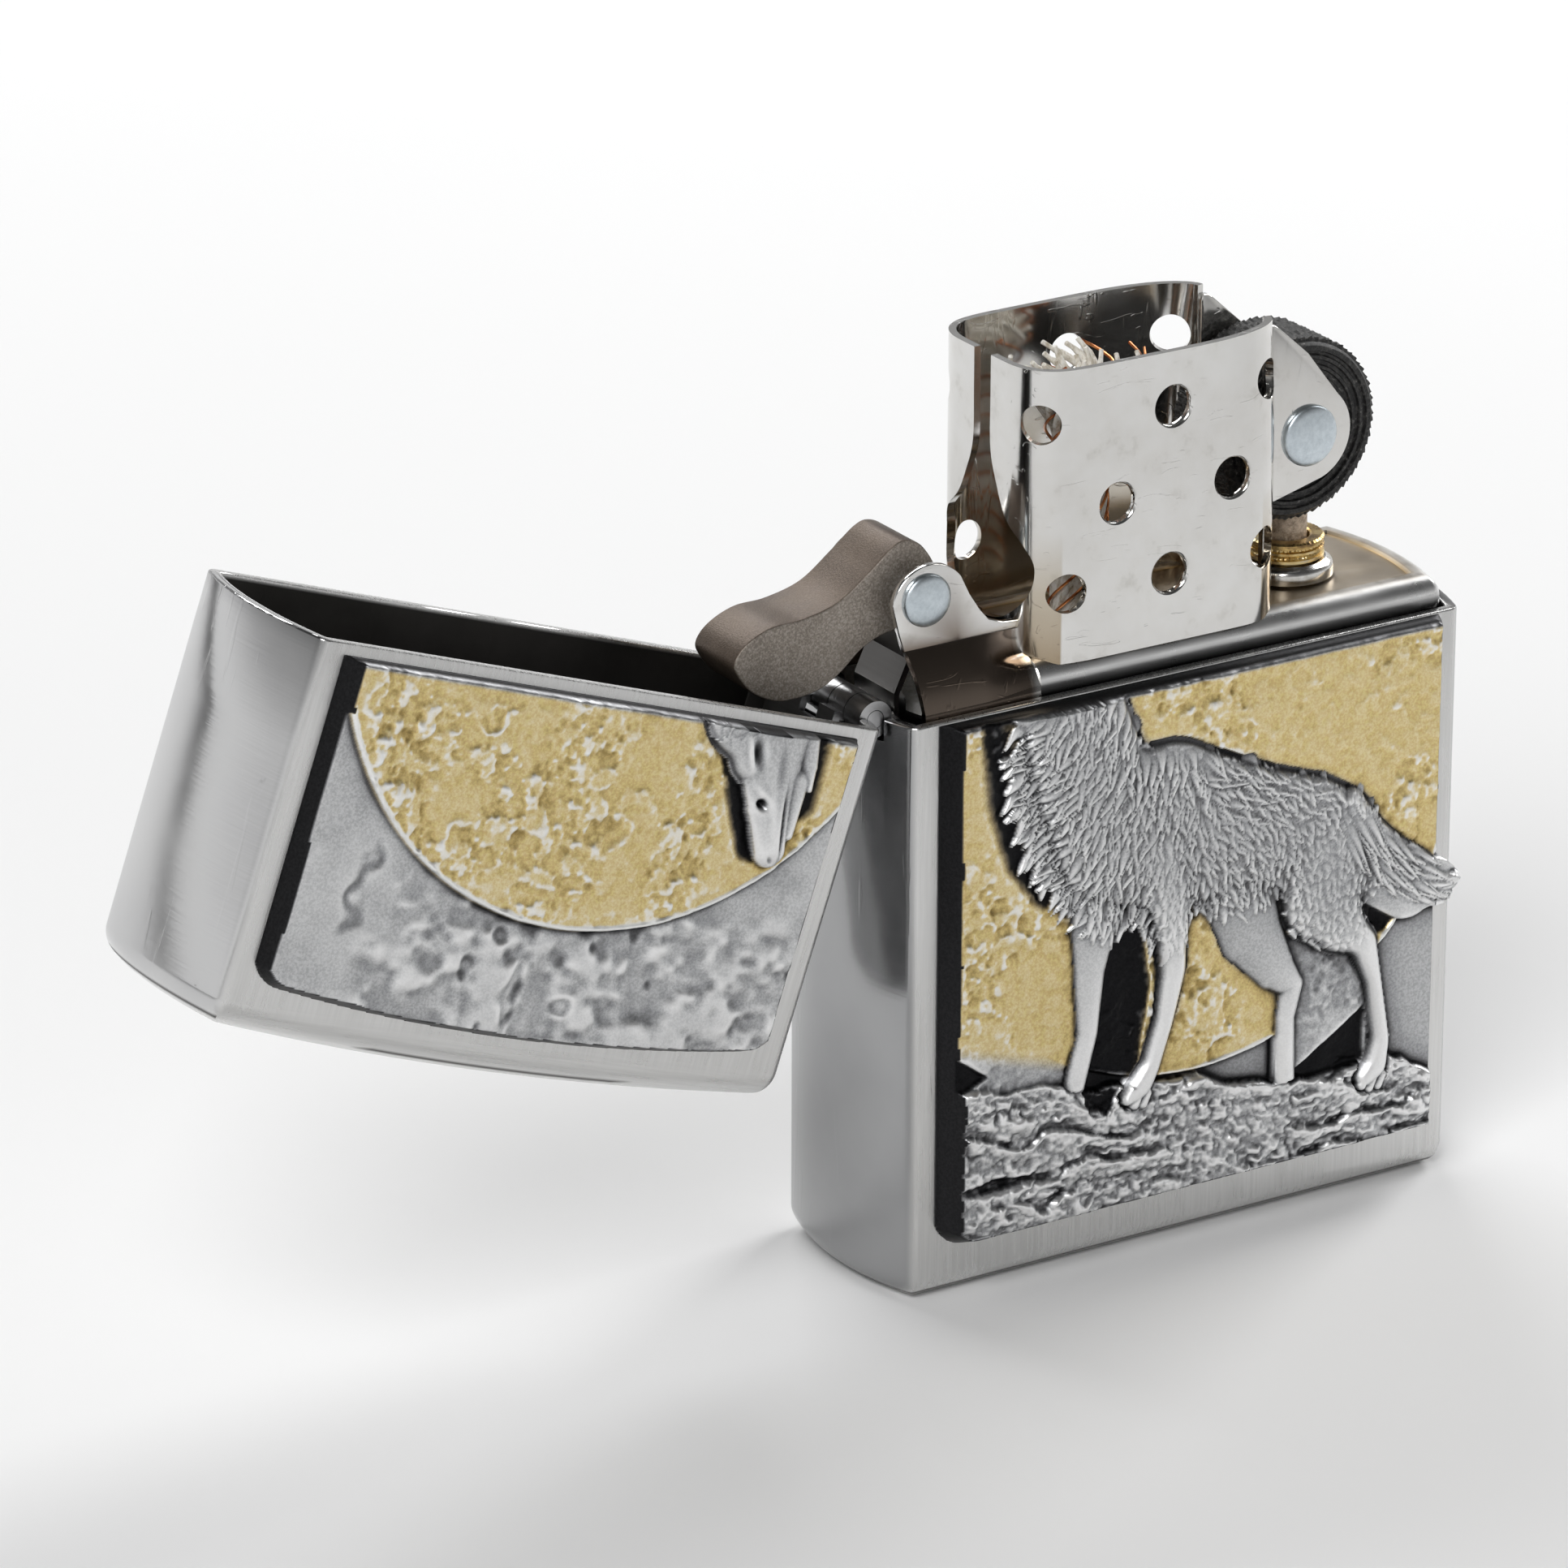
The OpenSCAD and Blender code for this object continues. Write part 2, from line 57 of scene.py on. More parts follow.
# Case and lid: plan, heights and sheet, then the radius of the bowed ends, of the plan's corners and of the
# rounded edges, and how far the lid's top falls towards its ends.
CASE_W, CASE_D, CASE_H, CLOSED_H, WALL = 38.4, 12.6, 34.0, 56.1, 0.68
BOW, CORNER, EDGE, DOME = 17.0, 0.74, 1.5, 0.9
HINGE_X, HINGE_Z, LID_Z = -19.1, 34.05, 34.1
HINGE_CUT_R, HINGE_CUT_LENGTH = 1.35, 8.4
LID_OPEN = math.radians(160.6)
# Insert: top plate, seam below it, rim of the windshield and sheet, then the can's plan.
PLATE_Z, SEAM_Z, RIM_Z, SHEET = 35.7, 33.4, 52.2, 0.42
CAN_X, CAN_W, CAN_D, CAN_BOW, CAN_CORNER = 0.5, 35.6, 11.1, 16.4, 0.7
WHEEL, CAM = (9.5, 44.85), (-15.6, 40.1)
TUBE_X, WICK_X = 10.5, -3.4
# Steps of a rounded edge, and points of a plan outline on half an end, on a corner and on a flat side.
EDGE_STEPS, END_POINTS, CORNER_POINTS, FLAT_POINTS = 10, 28, 8, 24

# ---- meshes ----


def make(name, verts, faces, smooth=35.0):
    """An object from millimetre vertices, shaded smooth apart from edges sharper than smooth degrees."""
    mesh = bpy.data.meshes.new(name)
    mesh.from_pydata((np.asarray(verts, float) * MM).tolist(), [], faces)
    mesh.validate()
    obj = bpy.data.objects.new(name, mesh)
    bpy.context.scene.collection.objects.link(obj)
    shade(obj, smooth)
    return obj


def shade(obj, smooth=35.0):
    obj.data.shade_smooth()
    if smooth < 180:
        obj.data.set_sharp_from_angle(angle=math.radians(smooth))


def grid_faces(rows, cols, closed=True, flip=False, start=0):
    """Quads over rows of cols vertices each; closed joins the last column to the first."""
    out = []
    for i in range(rows - 1):
        for j in range(cols if closed else cols - 1):
            a, b = start + i * cols + j, start + i * cols + (j + 1) % cols
            quad = (a, b, b + cols, a + cols)
            out.append(quad[::-1] if flip else quad)
    return out


def capped(rows, cols):
    """Faces of a closed solid over rows of cols vertices each: its sides, its first end and its last."""
    last = (rows - 1) * cols
    return grid_faces(rows, cols) + [tuple(range(cols - 1, -1, -1)), tuple(range(last, last + cols))]


def loft(name, rings, smooth=35.0):
    """A closed solid through rings of points, each anticlockwise from above, capped at both ends."""
    return make(name, np.concatenate(rings), capped(len(rings), len(rings[0])), smooth)


def thick(name, grid, offset, smooth=35.0):
    """A closed sheet: grid (rows, cols, 3) is one face, grid + offset the other."""
    rows, cols = grid.shape[:2]
    n, last = rows * cols, (rows - 1) * cols
    faces = grid_faces(rows, cols, False) + grid_faces(rows, cols, False, True, n)
    edge = [*range(cols), *range(2 * cols - 1, n, cols), *range(n - 2, last - 1, -1),
            *range(last - cols, 0, -cols)]
    for k, p in enumerate(edge):
        q = edge[(k + 1) % len(edge)]
        faces.append((q, p, p + n, q + n))
    return make(name, np.concatenate([grid.reshape(-1, 3), (grid + offset).reshape(-1, 3)]), faces, smooth)


def lathe(name, profile, origin, axis="z", n=96, smooth=35.0, wobble=None):
    """A turned solid. Its profile is (radius, height) from the lower end to the upper, and closes on itself
    where it doesn't touch the axis."""
    profile = np.asarray(profile, float)
    t = np.arange(n) * 2 * math.pi / n
    on_axis = profile[0, 0] < 1e-6 and profile[-1, 0] < 1e-6
    body = profile[1:-1] if on_axis else profile
    r, h = np.repeat(body[:, 0:1], n, 1), body[:, 1:2]
    if wobble is not None:
        r = wobble(r, h, t[None, :])
    local = np.stack([r * np.cos(t), r * np.sin(t), np.repeat(h, n, 1)], -1).reshape(-1, 3)
    faces, last = grid_faces(len(body), n), (len(body) - 1) * n
    if on_axis:
        low, high = len(local), len(local) + 1
        local = np.concatenate([local, [[0, 0, profile[0, 1]], [0, 0, profile[-1, 1]]]])
        faces += [(low, (j + 1) % n, j) for j in range(n)]
        faces += [(high, last + j, last + (j + 1) % n) for j in range(n)]
    else:
        faces += [(last + j, last + (j + 1) % n, (j + 1) % n, j) for j in range(n)]
    x, y, z = local.T
    turned = {"z": (x, y, z), "y": (x, -z, y)}[axis]
    return make(name, np.stack(turned, -1) + np.array(origin), faces, smooth)


def tube(path, radii, sides=8):
    """Vertices and faces of a round tube along a path."""
    path = np.asarray(path, float)
    radii = np.broadcast_to(radii, len(path))
    tangent = np.gradient(path, axis=0)
    tangent /= np.linalg.norm(tangent, axis=1)[:, None]
    side = np.cross(tangent, [0.31, 0.95, 0.05])
    side /= np.linalg.norm(side, axis=1)[:, None]
    up = np.cross(tangent, side)
    t = np.arange(sides) * 2 * math.pi / sides
    across = side[:, None] * np.cos(t)[None, :, None] + up[:, None] * np.sin(t)[None, :, None]
    verts = (path[:, None] + radii[:, None, None] * across).reshape(-1, 3)
    return verts, capped(len(path), sides)


def bundle(name, solids, smooth=60.0):
    """One object from the vertices and faces of several solids."""
    verts, faces, start = [], [], 0
    for v, f in solids:
        verts.append(v)
        faces += [tuple(i + start for i in face) for face in f]
        start += len(v)
    return make(name, np.concatenate(verts), faces, smooth)


def points(obj):
    """An object's vertices in millimetres."""
    return np.array([v.co for v in obj.data.vertices]) * 1000


def join(name, objs, smooth=35.0):
    """One object from several, which it replaces."""
    solids = [(points(o), [tuple(p.vertices) for p in o.data.polygons]) for o in objs]
    for o in objs:
        bpy.data.objects.remove(o)
    return bundle(name, solids, smooth)


def mark(obj, name, values):
    """Gives each vertex a value that a material reads."""
    obj.data.attributes.new(name, "FLOAT", "POINT").data.foreach_set("value", values.astype(np.float32))


def spline(points, steps, closed=True):
    """Catmull-Rom curve through points, with steps points on each span."""
    p = np.asarray(points, float)
    n, out = len(p), []
    for i in range(n if closed else n - 1):
        a, b = p[i - 1] if closed or i else p[0], p[i]
        c = p[(i + 1) % n]
        d = p[(i + 2) % n] if closed else p[min(i + 2, n - 1)]
        for s in range(steps):
            t = s / steps
            out.append(0.5 * (2 * b + (c - a) * t + (2 * a - 5 * b + 4 * c - d) * t * t
                              + (3 * b - 3 * c + d - a) * t ** 3))
    if not closed:
        out.append(p[-1])
    return np.array(out)


def step_up(v, low, high):
    """0 up to low, 1 from high, smooth between them."""
    t = np.clip((v - low) / (high - low), 0, 1)
    return t * t * (3 - 2 * t)


def inward(outline):
    """Unit normals pointing into a closed anticlockwise outline."""
    t = np.roll(outline, -1, 0) - np.roll(outline, 1, 0)
    t /= np.linalg.norm(t, axis=1)[:, None]
    return np.stack([-t[:, 1], t[:, 0]], -1)


def plate_xz(name, outline, y0, y1, bevel, steps=4, smooth=35.0):
    """A plate with a rounded edge: outline in (x, z), anticlockwise seen from -Y, between y0 and y1."""
    n, rings = inward(outline), []
    for side in (0, 1):
        for k in range(steps + 1):
            a = math.pi / 2 * (k / steps if side == 0 else 1 - k / steps)
            xz = outline + n * bevel * (1 - math.sin(a))
            y = y0 + bevel * (1 - math.cos(a)) if side == 0 else y1 - bevel * (1 - math.cos(a))
            rings.append(np.stack([xz[:, 0], np.full(len(xz), y), xz[:, 1]], -1))
    return loft(name, rings, smooth)


def cut(obj, *cutters):
    """Cuts the cutters out of an object and removes them."""
    for c in (obj, *cutters):
        edit = bmesh.new()
        edit.from_mesh(c.data)
        bmesh.ops.recalc_face_normals(edit, faces=edit.faces)
        edit.to_mesh(c.data)
        edit.free()
    for c in cutters:
        m = obj.modifiers.new("cut", "BOOLEAN")
        m.operation, m.object, m.solver = "DIFFERENCE", c, "EXACT"
    mesh = bpy.data.meshes.new_from_object(obj.evaluated_get(bpy.context.evaluated_depsgraph_get()))
    obj.modifiers.clear()
    obj.data = mesh
    for c in cutters:
        bpy.data.objects.remove(c)
    return obj


def rod(x, z, r, length):
    """A cutter along Y."""
    ends = [(0, -length / 2), (r, -length / 2), (r, length / 2), (0, length / 2)]
    return lathe("rod", ends, (x, 0, z), "y", 64)


def rod_z(x, r, low, high):
    """A cutter along Z."""
    return lathe("rod", [(0, low), (r, low), (r, high), (0, high)], (x, 0, 0), "z", 48)


def block(low, high):
    x0, y0, z0 = low
    x1, y1, z1 = high
    v = [(x, y, z) for z in (z0, z1) for x, y in ((x0, y0), (x1, y0), (x1, y1), (x0, y1))]
    return make("block", v, [(3, 2, 1, 0), (4, 5, 6, 7), (0, 1, 5, 4), (1, 2, 6, 5), (2, 3, 7, 6),
                             (3, 0, 4, 7)])


def place(obj, body, material, slot, *nodes, lid=False):
    """Gives a piece its material and its body, and hides the CAD nodes it replaces; a piece of the lid is
    turned open with it.
    """
    obj.data.materials.clear()
    obj.data.materials.append(material)
    if lid:
        h = Vector((HINGE_X, 0, HINGE_Z)) * MM
        obj.matrix_world = Matrix.Translation(h) @ Matrix.Rotation(-LID_OPEN, 4, "Y") @ Matrix.Translation(-h)
    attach(obj, body)
    if nodes:
        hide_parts(*nodes)
    return obj


# ---- outlines ----


def bowed(w, d, bow, r, inset=0.0):
    """Plan outline with flat sides and bowed ends, anticlockwise from the middle of the right end."""
    w, d, bow, r = w - 2 * inset, d - 2 * inset, bow - inset, max(r - inset, 0.1)
    cx, py = w / 2 - bow, d / 2 - r
    px = cx + math.sqrt((bow - r) ** 2 - py * py)
    a = math.atan2(py, px - cx)
    on_end = [a * (i + 0.5) / END_POINTS for i in range(END_POINTS)]
    on_corner = [a + (math.pi / 2 - a) * i / CORNER_POINTS for i in range(CORNER_POINTS + 1)]
    right = [(cx + bow * math.cos(t), bow * math.sin(t)) for t in on_end]
    right += [(px + r * math.cos(t), py + r * math.sin(t)) for t in on_corner]
    flat = [(px * (1 - 2 * i / (FLAT_POINTS + 1)), d / 2) for i in range(1, FLAT_POINTS + 1)]
    half = right + flat + [(-x, y) for x, y in right[::-1]]
    return np.array(half + [(x, -y) for x, y in half[::-1]])


def ring(w, d, bow, r, inset, z, dome=0.0, x=0.0):
    p = bowed(w, d, bow, r, inset)
    return np.stack([p[:, 0] + x, p[:, 1], z - dome * (2 * p[:, 0] / w) ** 2], -1)


def case_ring(inset, z, dome=0.0):
    return ring(CASE_W, CASE_D, BOW, CORNER, inset, z, dome)


def can_ring(inset, z):
    return ring(CAN_W, CAN_D, CAN_BOW, CAN_CORNER, inset, z, x=CAN_X)


# ---- materials ----

# How noise is stretched: not at all, or into marks along one axis.
EVEN, ALONG_X, ALONG_Y, ALONG_Z = (1, 1, 1), (0.03, 1, 1), (1, 0.03, 1), (1, 1, 0.03)
SCRATCH_X, SCRATCH_Z = (0.12, 1, 1), (1, 1, 0.12)
# Where in its noise a scratch starts and is full.
SCRATCHES = ((0.66, 0.0), (0.7, 1.0))


class Nodes:
    """A Principled material and short ways to add nodes to it."""

    def __init__(self, name, color, metallic=1.0, roughness=0.3):
        self.material = bpy.data.materials.new(name)
        self.material.use_nodes = True
        self.tree = self.material.node_tree
        self.shader = self.tree.nodes["Principled BSDF"]
        self.shader.inputs["Base Color"].default_value = (*color, 1)
        self.shader.inputs["Metallic"].default_value = metallic
        self.shader.inputs["Roughness"].default_value = roughness
        self.coords = self.tree.nodes.new("ShaderNodeTexCoord").outputs["Object"]

    def link(self, source, target):
        self.tree.links.new(source, target)

    def noise(self, scale, stretch=EVEN, detail=4.0, roughness=0.55, distortion=0.0):
        """Noise with scale features per metre, stretched per axis."""
        m = self.tree.nodes.new("ShaderNodeMapping")
        m.inputs["Scale"].default_value = stretch
        self.link(self.coords, m.inputs["Vector"])
        t = self.tree.nodes.new("ShaderNodeTexNoise")
        for key, value in (("Scale", scale), ("Detail", detail), ("Roughness", roughness),
                           ("Distortion", distortion)):
            t.inputs[key].default_value = value
        self.link(m.outputs["Vector"], t.inputs["Vector"])
        return t.outputs["Fac"]

    def attribute(self, name):
        t = self.tree.nodes.new("ShaderNodeAttribute")
        t.attribute_name = name
        return t.outputs["Fac"]

    def coordinate(self, axis):
        t = self.tree.nodes.new("ShaderNodeSeparateXYZ")
        self.link(self.coords, t.inputs["Vector"])
        return t.outputs[axis]

    def ramp(self, source, *stops):
        """Colours or values at positions; a number stands for a grey."""
        t = self.tree.nodes.new("ShaderNodeValToRGB")
        points = t.color_ramp.elements
        while len(points) < len(stops):
            points.new(0.5)
        for point, (at, color) in zip(points, stops):
            point.position = at
            point.color = (color, color, color, 1) if isinstance(color, (int, float)) else (*color, 1)
        self.link(source, t.inputs["Fac"])
        return t.outputs["Color"]

    def zones(self, axis, span, *stops, mirrored=False):
        """A ramp along an axis of the piece, with its stops in millimetres from 0 up to span."""
        place = self.coordinate(axis)
        if mirrored:
            place = self.math("ABSOLUTE", place)
        return self.ramp(self.math("MULTIPLY", place, 1000 / span),
                         *((at / span, color) for at, color in stops))

    def mix(self, fac, a, b, kind="MIX"):
        t = self.tree.nodes.new("ShaderNodeMix")
        t.data_type, t.blend_type = "RGBA", kind
        for source, socket in ((fac, 0), (a, 6), (b, 7)):
            if isinstance(source, (int, float, tuple)):
                t.inputs[socket].default_value = source if socket == 0 else (*source, 1)
            else:
                self.link(source, t.inputs[socket])
        return t.outputs[2]

    def math(self, kind, a, b=0.0, c=0.0):
        t = self.tree.nodes.new("ShaderNodeMath")
        t.operation = kind
        for k, source in enumerate((a, b, c)):
            if isinstance(source, (int, float)):
                t.inputs[k].default_value = source
            else:
                self.link(source, t.inputs[k])
        return t.outputs[0]

    def bump(self, height, distance, strength=1.0, under=None):
        """distance in millimetres for a height change of one."""
        t = self.tree.nodes.new("ShaderNodeBump")
        t.inputs["Strength"].default_value = strength
        t.inputs["Distance"].default_value = distance * MM
        self.link(height, t.inputs["Height"])
        if under is not None:
            self.link(under, t.inputs["Normal"])
        self.link(t.outputs["Normal"], self.shader.inputs["Normal"])
        return t.outputs["Normal"]

    def color(self, source):
        self.link(source, self.shader.inputs["Base Color"])

    def rough(self, source, low, high):
        t = self.tree.nodes.new("ShaderNodeMapRange")
        t.inputs["To Min"].default_value, t.inputs["To Max"].default_value = low, high
        self.link(source, t.inputs["Value"])
        self.link(t.outputs["Result"], self.shader.inputs["Roughness"])


def brushed(name, color):
    """Metal with brush marks along Y, soft patches and a few scratches."""
    m = Nodes(name, color)
    lines, patches = m.noise(5000, ALONG_Y, 2.0, 0.6), m.noise(120, EVEN, 3.0)
    m.rough(m.mix(0.5, lines, patches), 0.22, 0.4)
    m.color(m.ramp(m.mix(0.35, lines, patches), (0.3, tuple(c * 0.86 for c in color)), (0.7, color)))
    normal = m.bump(lines, 0.004)
    m.bump(m.ramp(m.noise(900, SCRATCH_Z, 1.0, 0.4, 1.2), *SCRATCHES), 0.004, under=normal)
    return m.material


def grained(name, color, noise, stops, rough=None, bump=None, **look):
    """A material whose colour, roughness and bump all follow one noise."""
    m = Nodes(name, color, **look)
    grain = m.noise(*noise)
    m.color(m.ramp(grain, *stops))
    if rough:
        m.rough(grain, *rough)
    if bump:
        m.bump(grain, bump)
    return m.material


# Satin plate: faces brushed upright, and across on the lid's top; polished ends with a painted reflection that
# makes them darker on the case than on the lid, as the photo's reflections are; painted shade inside, a dull
# near-black.
m = Nodes("satin_case", (0.66, 0.66, 0.655))
on_top = m.zones("Z", 60, (53.6, 0.0), (54.6, 1.0))
lines = m.mix(on_top, m.noise(5200, ALONG_Z, 2.0, 0.6), m.noise(5200, ALONG_X, 2.0, 0.6))
patches = m.noise(110)
cross = m.noise(3800, (0.05, 0.05, 1), 2.0, 0.6)
end = m.zones("X", 20, (17.75, 0.0), (18.1, 1.0), mirrored=True)
painted_inside_shade = m.attribute("painted_inside_shade")
face_rough = m.ramp(m.mix(0.5, lines, patches), (0.3, 0.2), (0.7, 0.36))
end_rough = m.ramp(patches, (0.35, 0.09), (0.7, 0.2))
m.rough(m.mix(painted_inside_shade, m.mix(end, face_rough, end_rough), (0.5, 0.5, 0.5)), 0.0, 1.0)
face_color = m.ramp(m.mix(0.35, lines, patches), (0.3, (0.58, 0.578, 0.57)), (0.7, (0.71, 0.708, 0.7)))
# painted reflection: the ends darker on the case than on the lid
painted_end_reflection = m.zones("Z", 60, (33.5, (0.36, 0.362, 0.365)), (35, (0.62, 0.62, 0.62)))
end_color = m.mix(0.6, painted_end_reflection, m.ramp(patches, (0.35, (0.8, 0.8, 0.81)), (0.7, (1, 1, 1))), "MULTIPLY")
outer_color = m.mix(end, face_color, end_color)
# painted shade: the inside near black
m.color(m.mix(painted_inside_shade, outer_color, m.ramp(patches, (0.3, (0.05, 0.048, 0.045)), (0.7, (0.1, 0.095, 0.09)))))
under = m.bump(m.mix(end, lines, m.mix(0.5, cross, (0.5, 0.5, 0.5))), 0.004)
marks = m.mix(on_top, m.noise(900, SCRATCH_Z, 1.0, 0.4, 1.2), m.noise(900, SCRATCH_X, 1.0, 0.4, 1.2))
m.bump(m.ramp(marks, *SCRATCHES), 0.004, under=under)
case_metal = m.material
hinge_metal = brushed("plain_steel", (0.5, 0.5, 0.505))
spring_metal = brushed("dark_spring_steel", (0.16, 0.155, 0.15))

# Thin stainless sheet: nearly mirror bright; low down inside, heat-tinted amber and darkened towards the bottom
# as painted shade; a painted dark reflection on the cam's ramps.
m = Nodes("polished_stainless", (0.76, 0.745, 0.72))
smear = m.noise(90)
marks = m.noise(700, (1, 1, 0.2), 2.0, 0.5, 1.5)
m.rough(m.mix(0.4, smear, marks), 0.06, 0.2)
# amber heat tint; its darkening towards the bottom of the inside is painted shade
heat_tint_and_shade = m.zones("Z", 100, (35.2, (0.42, 0.3, 0.16)), (39.5, (0.7, 0.62, 0.5)), (43, (1, 1, 1)))
spots = m.noise(520, EVEN, 5.0, 0.65)
clean = m.mix(0.45, m.ramp(smear, (0.3, (0.64, 0.63, 0.61)), (0.62, (0.74, 0.735, 0.72))),
              m.ramp(spots, (0.3, (0.62, 0.6, 0.56)), (0.42, (0.93, 0.92, 0.9)), (0.6, (1, 1, 1))), "MULTIPLY")
tinted_shaded_wall = m.mix(m.attribute("inside"), clean, m.mix(0.85, clean, heat_tint_and_shade, "MULTIPLY"))
# painted reflection: the cam's ramps coloured as a dark brown mirror
m.color(m.mix(m.attribute("ramp"), tinted_shaded_wall, m.ramp(smear, (0.35, (0.1, 0.075, 0.06)),
                                                     (0.65, (0.2, 0.16, 0.13)))))
soft = m.bump(m.noise(60, EVEN, 1.0), 0.03)
under = m.bump(m.ramp(marks, (0.62, 0.0), (0.67, 1.0)), 0.006, under=soft)
m.bump(m.ramp(m.noise(1300, (0.25, 1, 1), 1.0, 0.5, 1.5), (0.68, 0.0), (0.71, 1.0)), 0.006, under=under)
stainless = m.material

# Top plate: a matte worn middle inside a bright rounded shoulder, with a brown line between them; under the
# shoulder a painted shade, a dark band that turns black at the case's rim.
m = Nodes("worn_top_plate", (0.6, 0.58, 0.54))
grime = m.noise(420, EVEN, 6.0, 0.6)
flat = m.zones("Z", 40, (35.55, 0.0), (35.68, 1.0))
middle = m.ramp(grime, (0.35, (0.2, 0.16, 0.11)), (0.46, (0.4, 0.37, 0.33)), (0.6, (0.52, 0.5, 0.46)),
                (0.7, (0.62, 0.6, 0.57)))
# painted shade: a dark band under the shoulder, black at the case's rim
side = m.zones("Z", 40, (34.15, (0.03, 0.03, 0.03)), (34.5, (0.2, 0.2, 0.2)), (34.75, (0.72, 0.72, 0.715)))
line = m.attribute("stain")
m.color(m.mix(line, m.mix(flat, side, middle), (0.3, 0.2, 0.075)))
m.rough(m.mix(flat, m.noise(300), m.ramp(grime, (0.2, 0.7), (0.8, 1.0))), 0.08, 0.55)
m.bump(grime, 0.02)
top_metal = m.material

zinc = grained("zinc_rivet", (0.66, 0.72, 0.77), (2600, EVEN, 3.0, 0.7),
               ((0.3, (0.5, 0.56, 0.6)), (0.7, (0.66, 0.72, 0.76))), (0.28, 0.42), 0.006, roughness=0.35)

# Sintered steel: sandy sides and a dark brown edge.
m = Nodes("sintered_cam", (0.3, 0.25, 0.2), metallic=0.55, roughness=0.55)
grain, blotch = m.noise(9500, EVEN, 2.0, 0.6), m.noise(420)
flank = m.zones("Y", 2.5, (1.975, 0.0), (2.03, 1.0), mirrored=True)
sand = m.mix(0.4, m.ramp(grain, (0.36, (0.16, 0.135, 0.11)), (0.5, (0.27, 0.235, 0.2)),
                         (0.66, (0.46, 0.42, 0.37))),
             m.ramp(blotch, (0.35, (0.2, 0.175, 0.15)), (0.65, (0.32, 0.285, 0.25))))
brown = m.mix(0.5, m.ramp(grain, (0.4, (0.085, 0.065, 0.05)), (0.66, (0.17, 0.135, 0.105))),
              m.ramp(blotch, (0.35, (0.085, 0.06, 0.045)), (0.65, (0.16, 0.12, 0.09))))
m.color(m.mix(flank, brown, sand))
m.rough(m.mix(flank, blotch, grain), 0.34, 0.6)
m.bump(grain, 0.018)
sintered = m.material

wheel_black = grained("blackened_wheel", (0.02, 0.02, 0.02), (3600, EVEN, 4.0, 0.75),
                      ((0.45, (0.012, 0.012, 0.012)), (0.62, (0.06, 0.058, 0.055)), (0.74, (0.34, 0.33, 0.32))),
                      (0.35, 0.65), 0.06, metallic=0.35, roughness=0.5)

m = Nodes("heat_tinted_brass", (0.62, 0.45, 0.2))
film = m.noise(500, (1, 1, 3), 4.0, 0.6)
m.color(m.ramp(film, (0.34, (0.16, 0.1, 0.05)), (0.46, (0.5, 0.34, 0.13)), (0.58, (0.75, 0.6, 0.3)),
               (0.7, (0.55, 0.52, 0.5))))
m.rough(film, 0.16, 0.42)
m.bump(m.noise(4000), 0.008)
brass = m.material

nickel = grained("nickel_ring", (0.74, 0.72, 0.69), (800,),
                 ((0.35, (0.45, 0.42, 0.36)), (0.55, (0.78, 0.77, 0.75))), (0.08, 0.3), 0.01)
flint_metal = grained("flint_alloy", (0.45, 0.38, 0.3), (2500, EVEN, 4.0, 0.7),
                      ((0.35, (0.22, 0.16, 0.11)), (0.6, (0.62, 0.5, 0.38))), (0.4, 0.65), 0.04,
                      metallic=0.5, roughness=0.5)
fibre = grained("wick_fibre", (0.82, 0.8, 0.74), (3200, (1, 1, 0.4), 5.0, 0.7),
                ((0.34, (0.5, 0.44, 0.34)), (0.52, (0.84, 0.81, 0.74)), (0.7, (0.95, 0.94, 0.91))), bump=0.12,
                metallic=0.0, roughness=0.9)
copper = grained("copper_wire", (0.78, 0.3, 0.11), (1500, EVEN, 3.0),
                 ((0.38, (0.42, 0.12, 0.04)), (0.6, (0.86, 0.38, 0.16))), (0.2, 0.45))
wool = grained("cotton_wool", (0.9, 0.89, 0.86), (900, EVEN, 8.0, 0.75),
               ((0.35, (0.7, 0.68, 0.63)), (0.6, (0.95, 0.94, 0.92))), bump=0.5, metallic=0.0, roughness=0.95)
felt = grained("pressed_felt", (0.8, 0.79, 0.76), (1800, EVEN, 8.0, 0.8),
               ((0.35, (0.62, 0.61, 0.58)), (0.62, (0.88, 0.87, 0.85))), bump=0.25, metallic=0.0,
               roughness=0.95)

# Cast emblem: antiqued pewter, dark in its hollows and in painted shadows beside the wolf, with gold where the
# moon is.
m = Nodes("antiqued_emblem", (0.5, 0.5, 0.5))
hollow, gold = m.attribute("hollow"), m.attribute("gold")
grain = m.noise(6500, EVEN, 3.0, 0.7)
pewter = m.ramp(hollow, (0.0, (0.012, 0.012, 0.013)), (0.3, (0.13, 0.13, 0.135)), (0.5, (0.36, 0.365, 0.375)),
                (0.66, (0.6, 0.605, 0.61)), (0.85, (0.86, 0.86, 0.86)))
wash = m.ramp(hollow, (0.0, (0.02, 0.017, 0.012)), (0.28, (0.4, 0.29, 0.11)), (0.48, (0.66, 0.52, 0.235)),
              (0.6, (0.74, 0.62, 0.36)), (0.68, (0.84, 0.8, 0.7)), (0.85, (0.9, 0.9, 0.88)))
tone = m.mix(gold, pewter, wash)
m.color(m.mix(0.2, tone, m.ramp(grain, (0.4, (0.1, 0.1, 0.1)), (0.6, (0.9, 0.9, 0.9))), "OVERLAY"))
m.rough(grain, 0.3, 0.48)
m.bump(grain, 0.012)
emblem_metal = m.material


# ---- case and lid ----


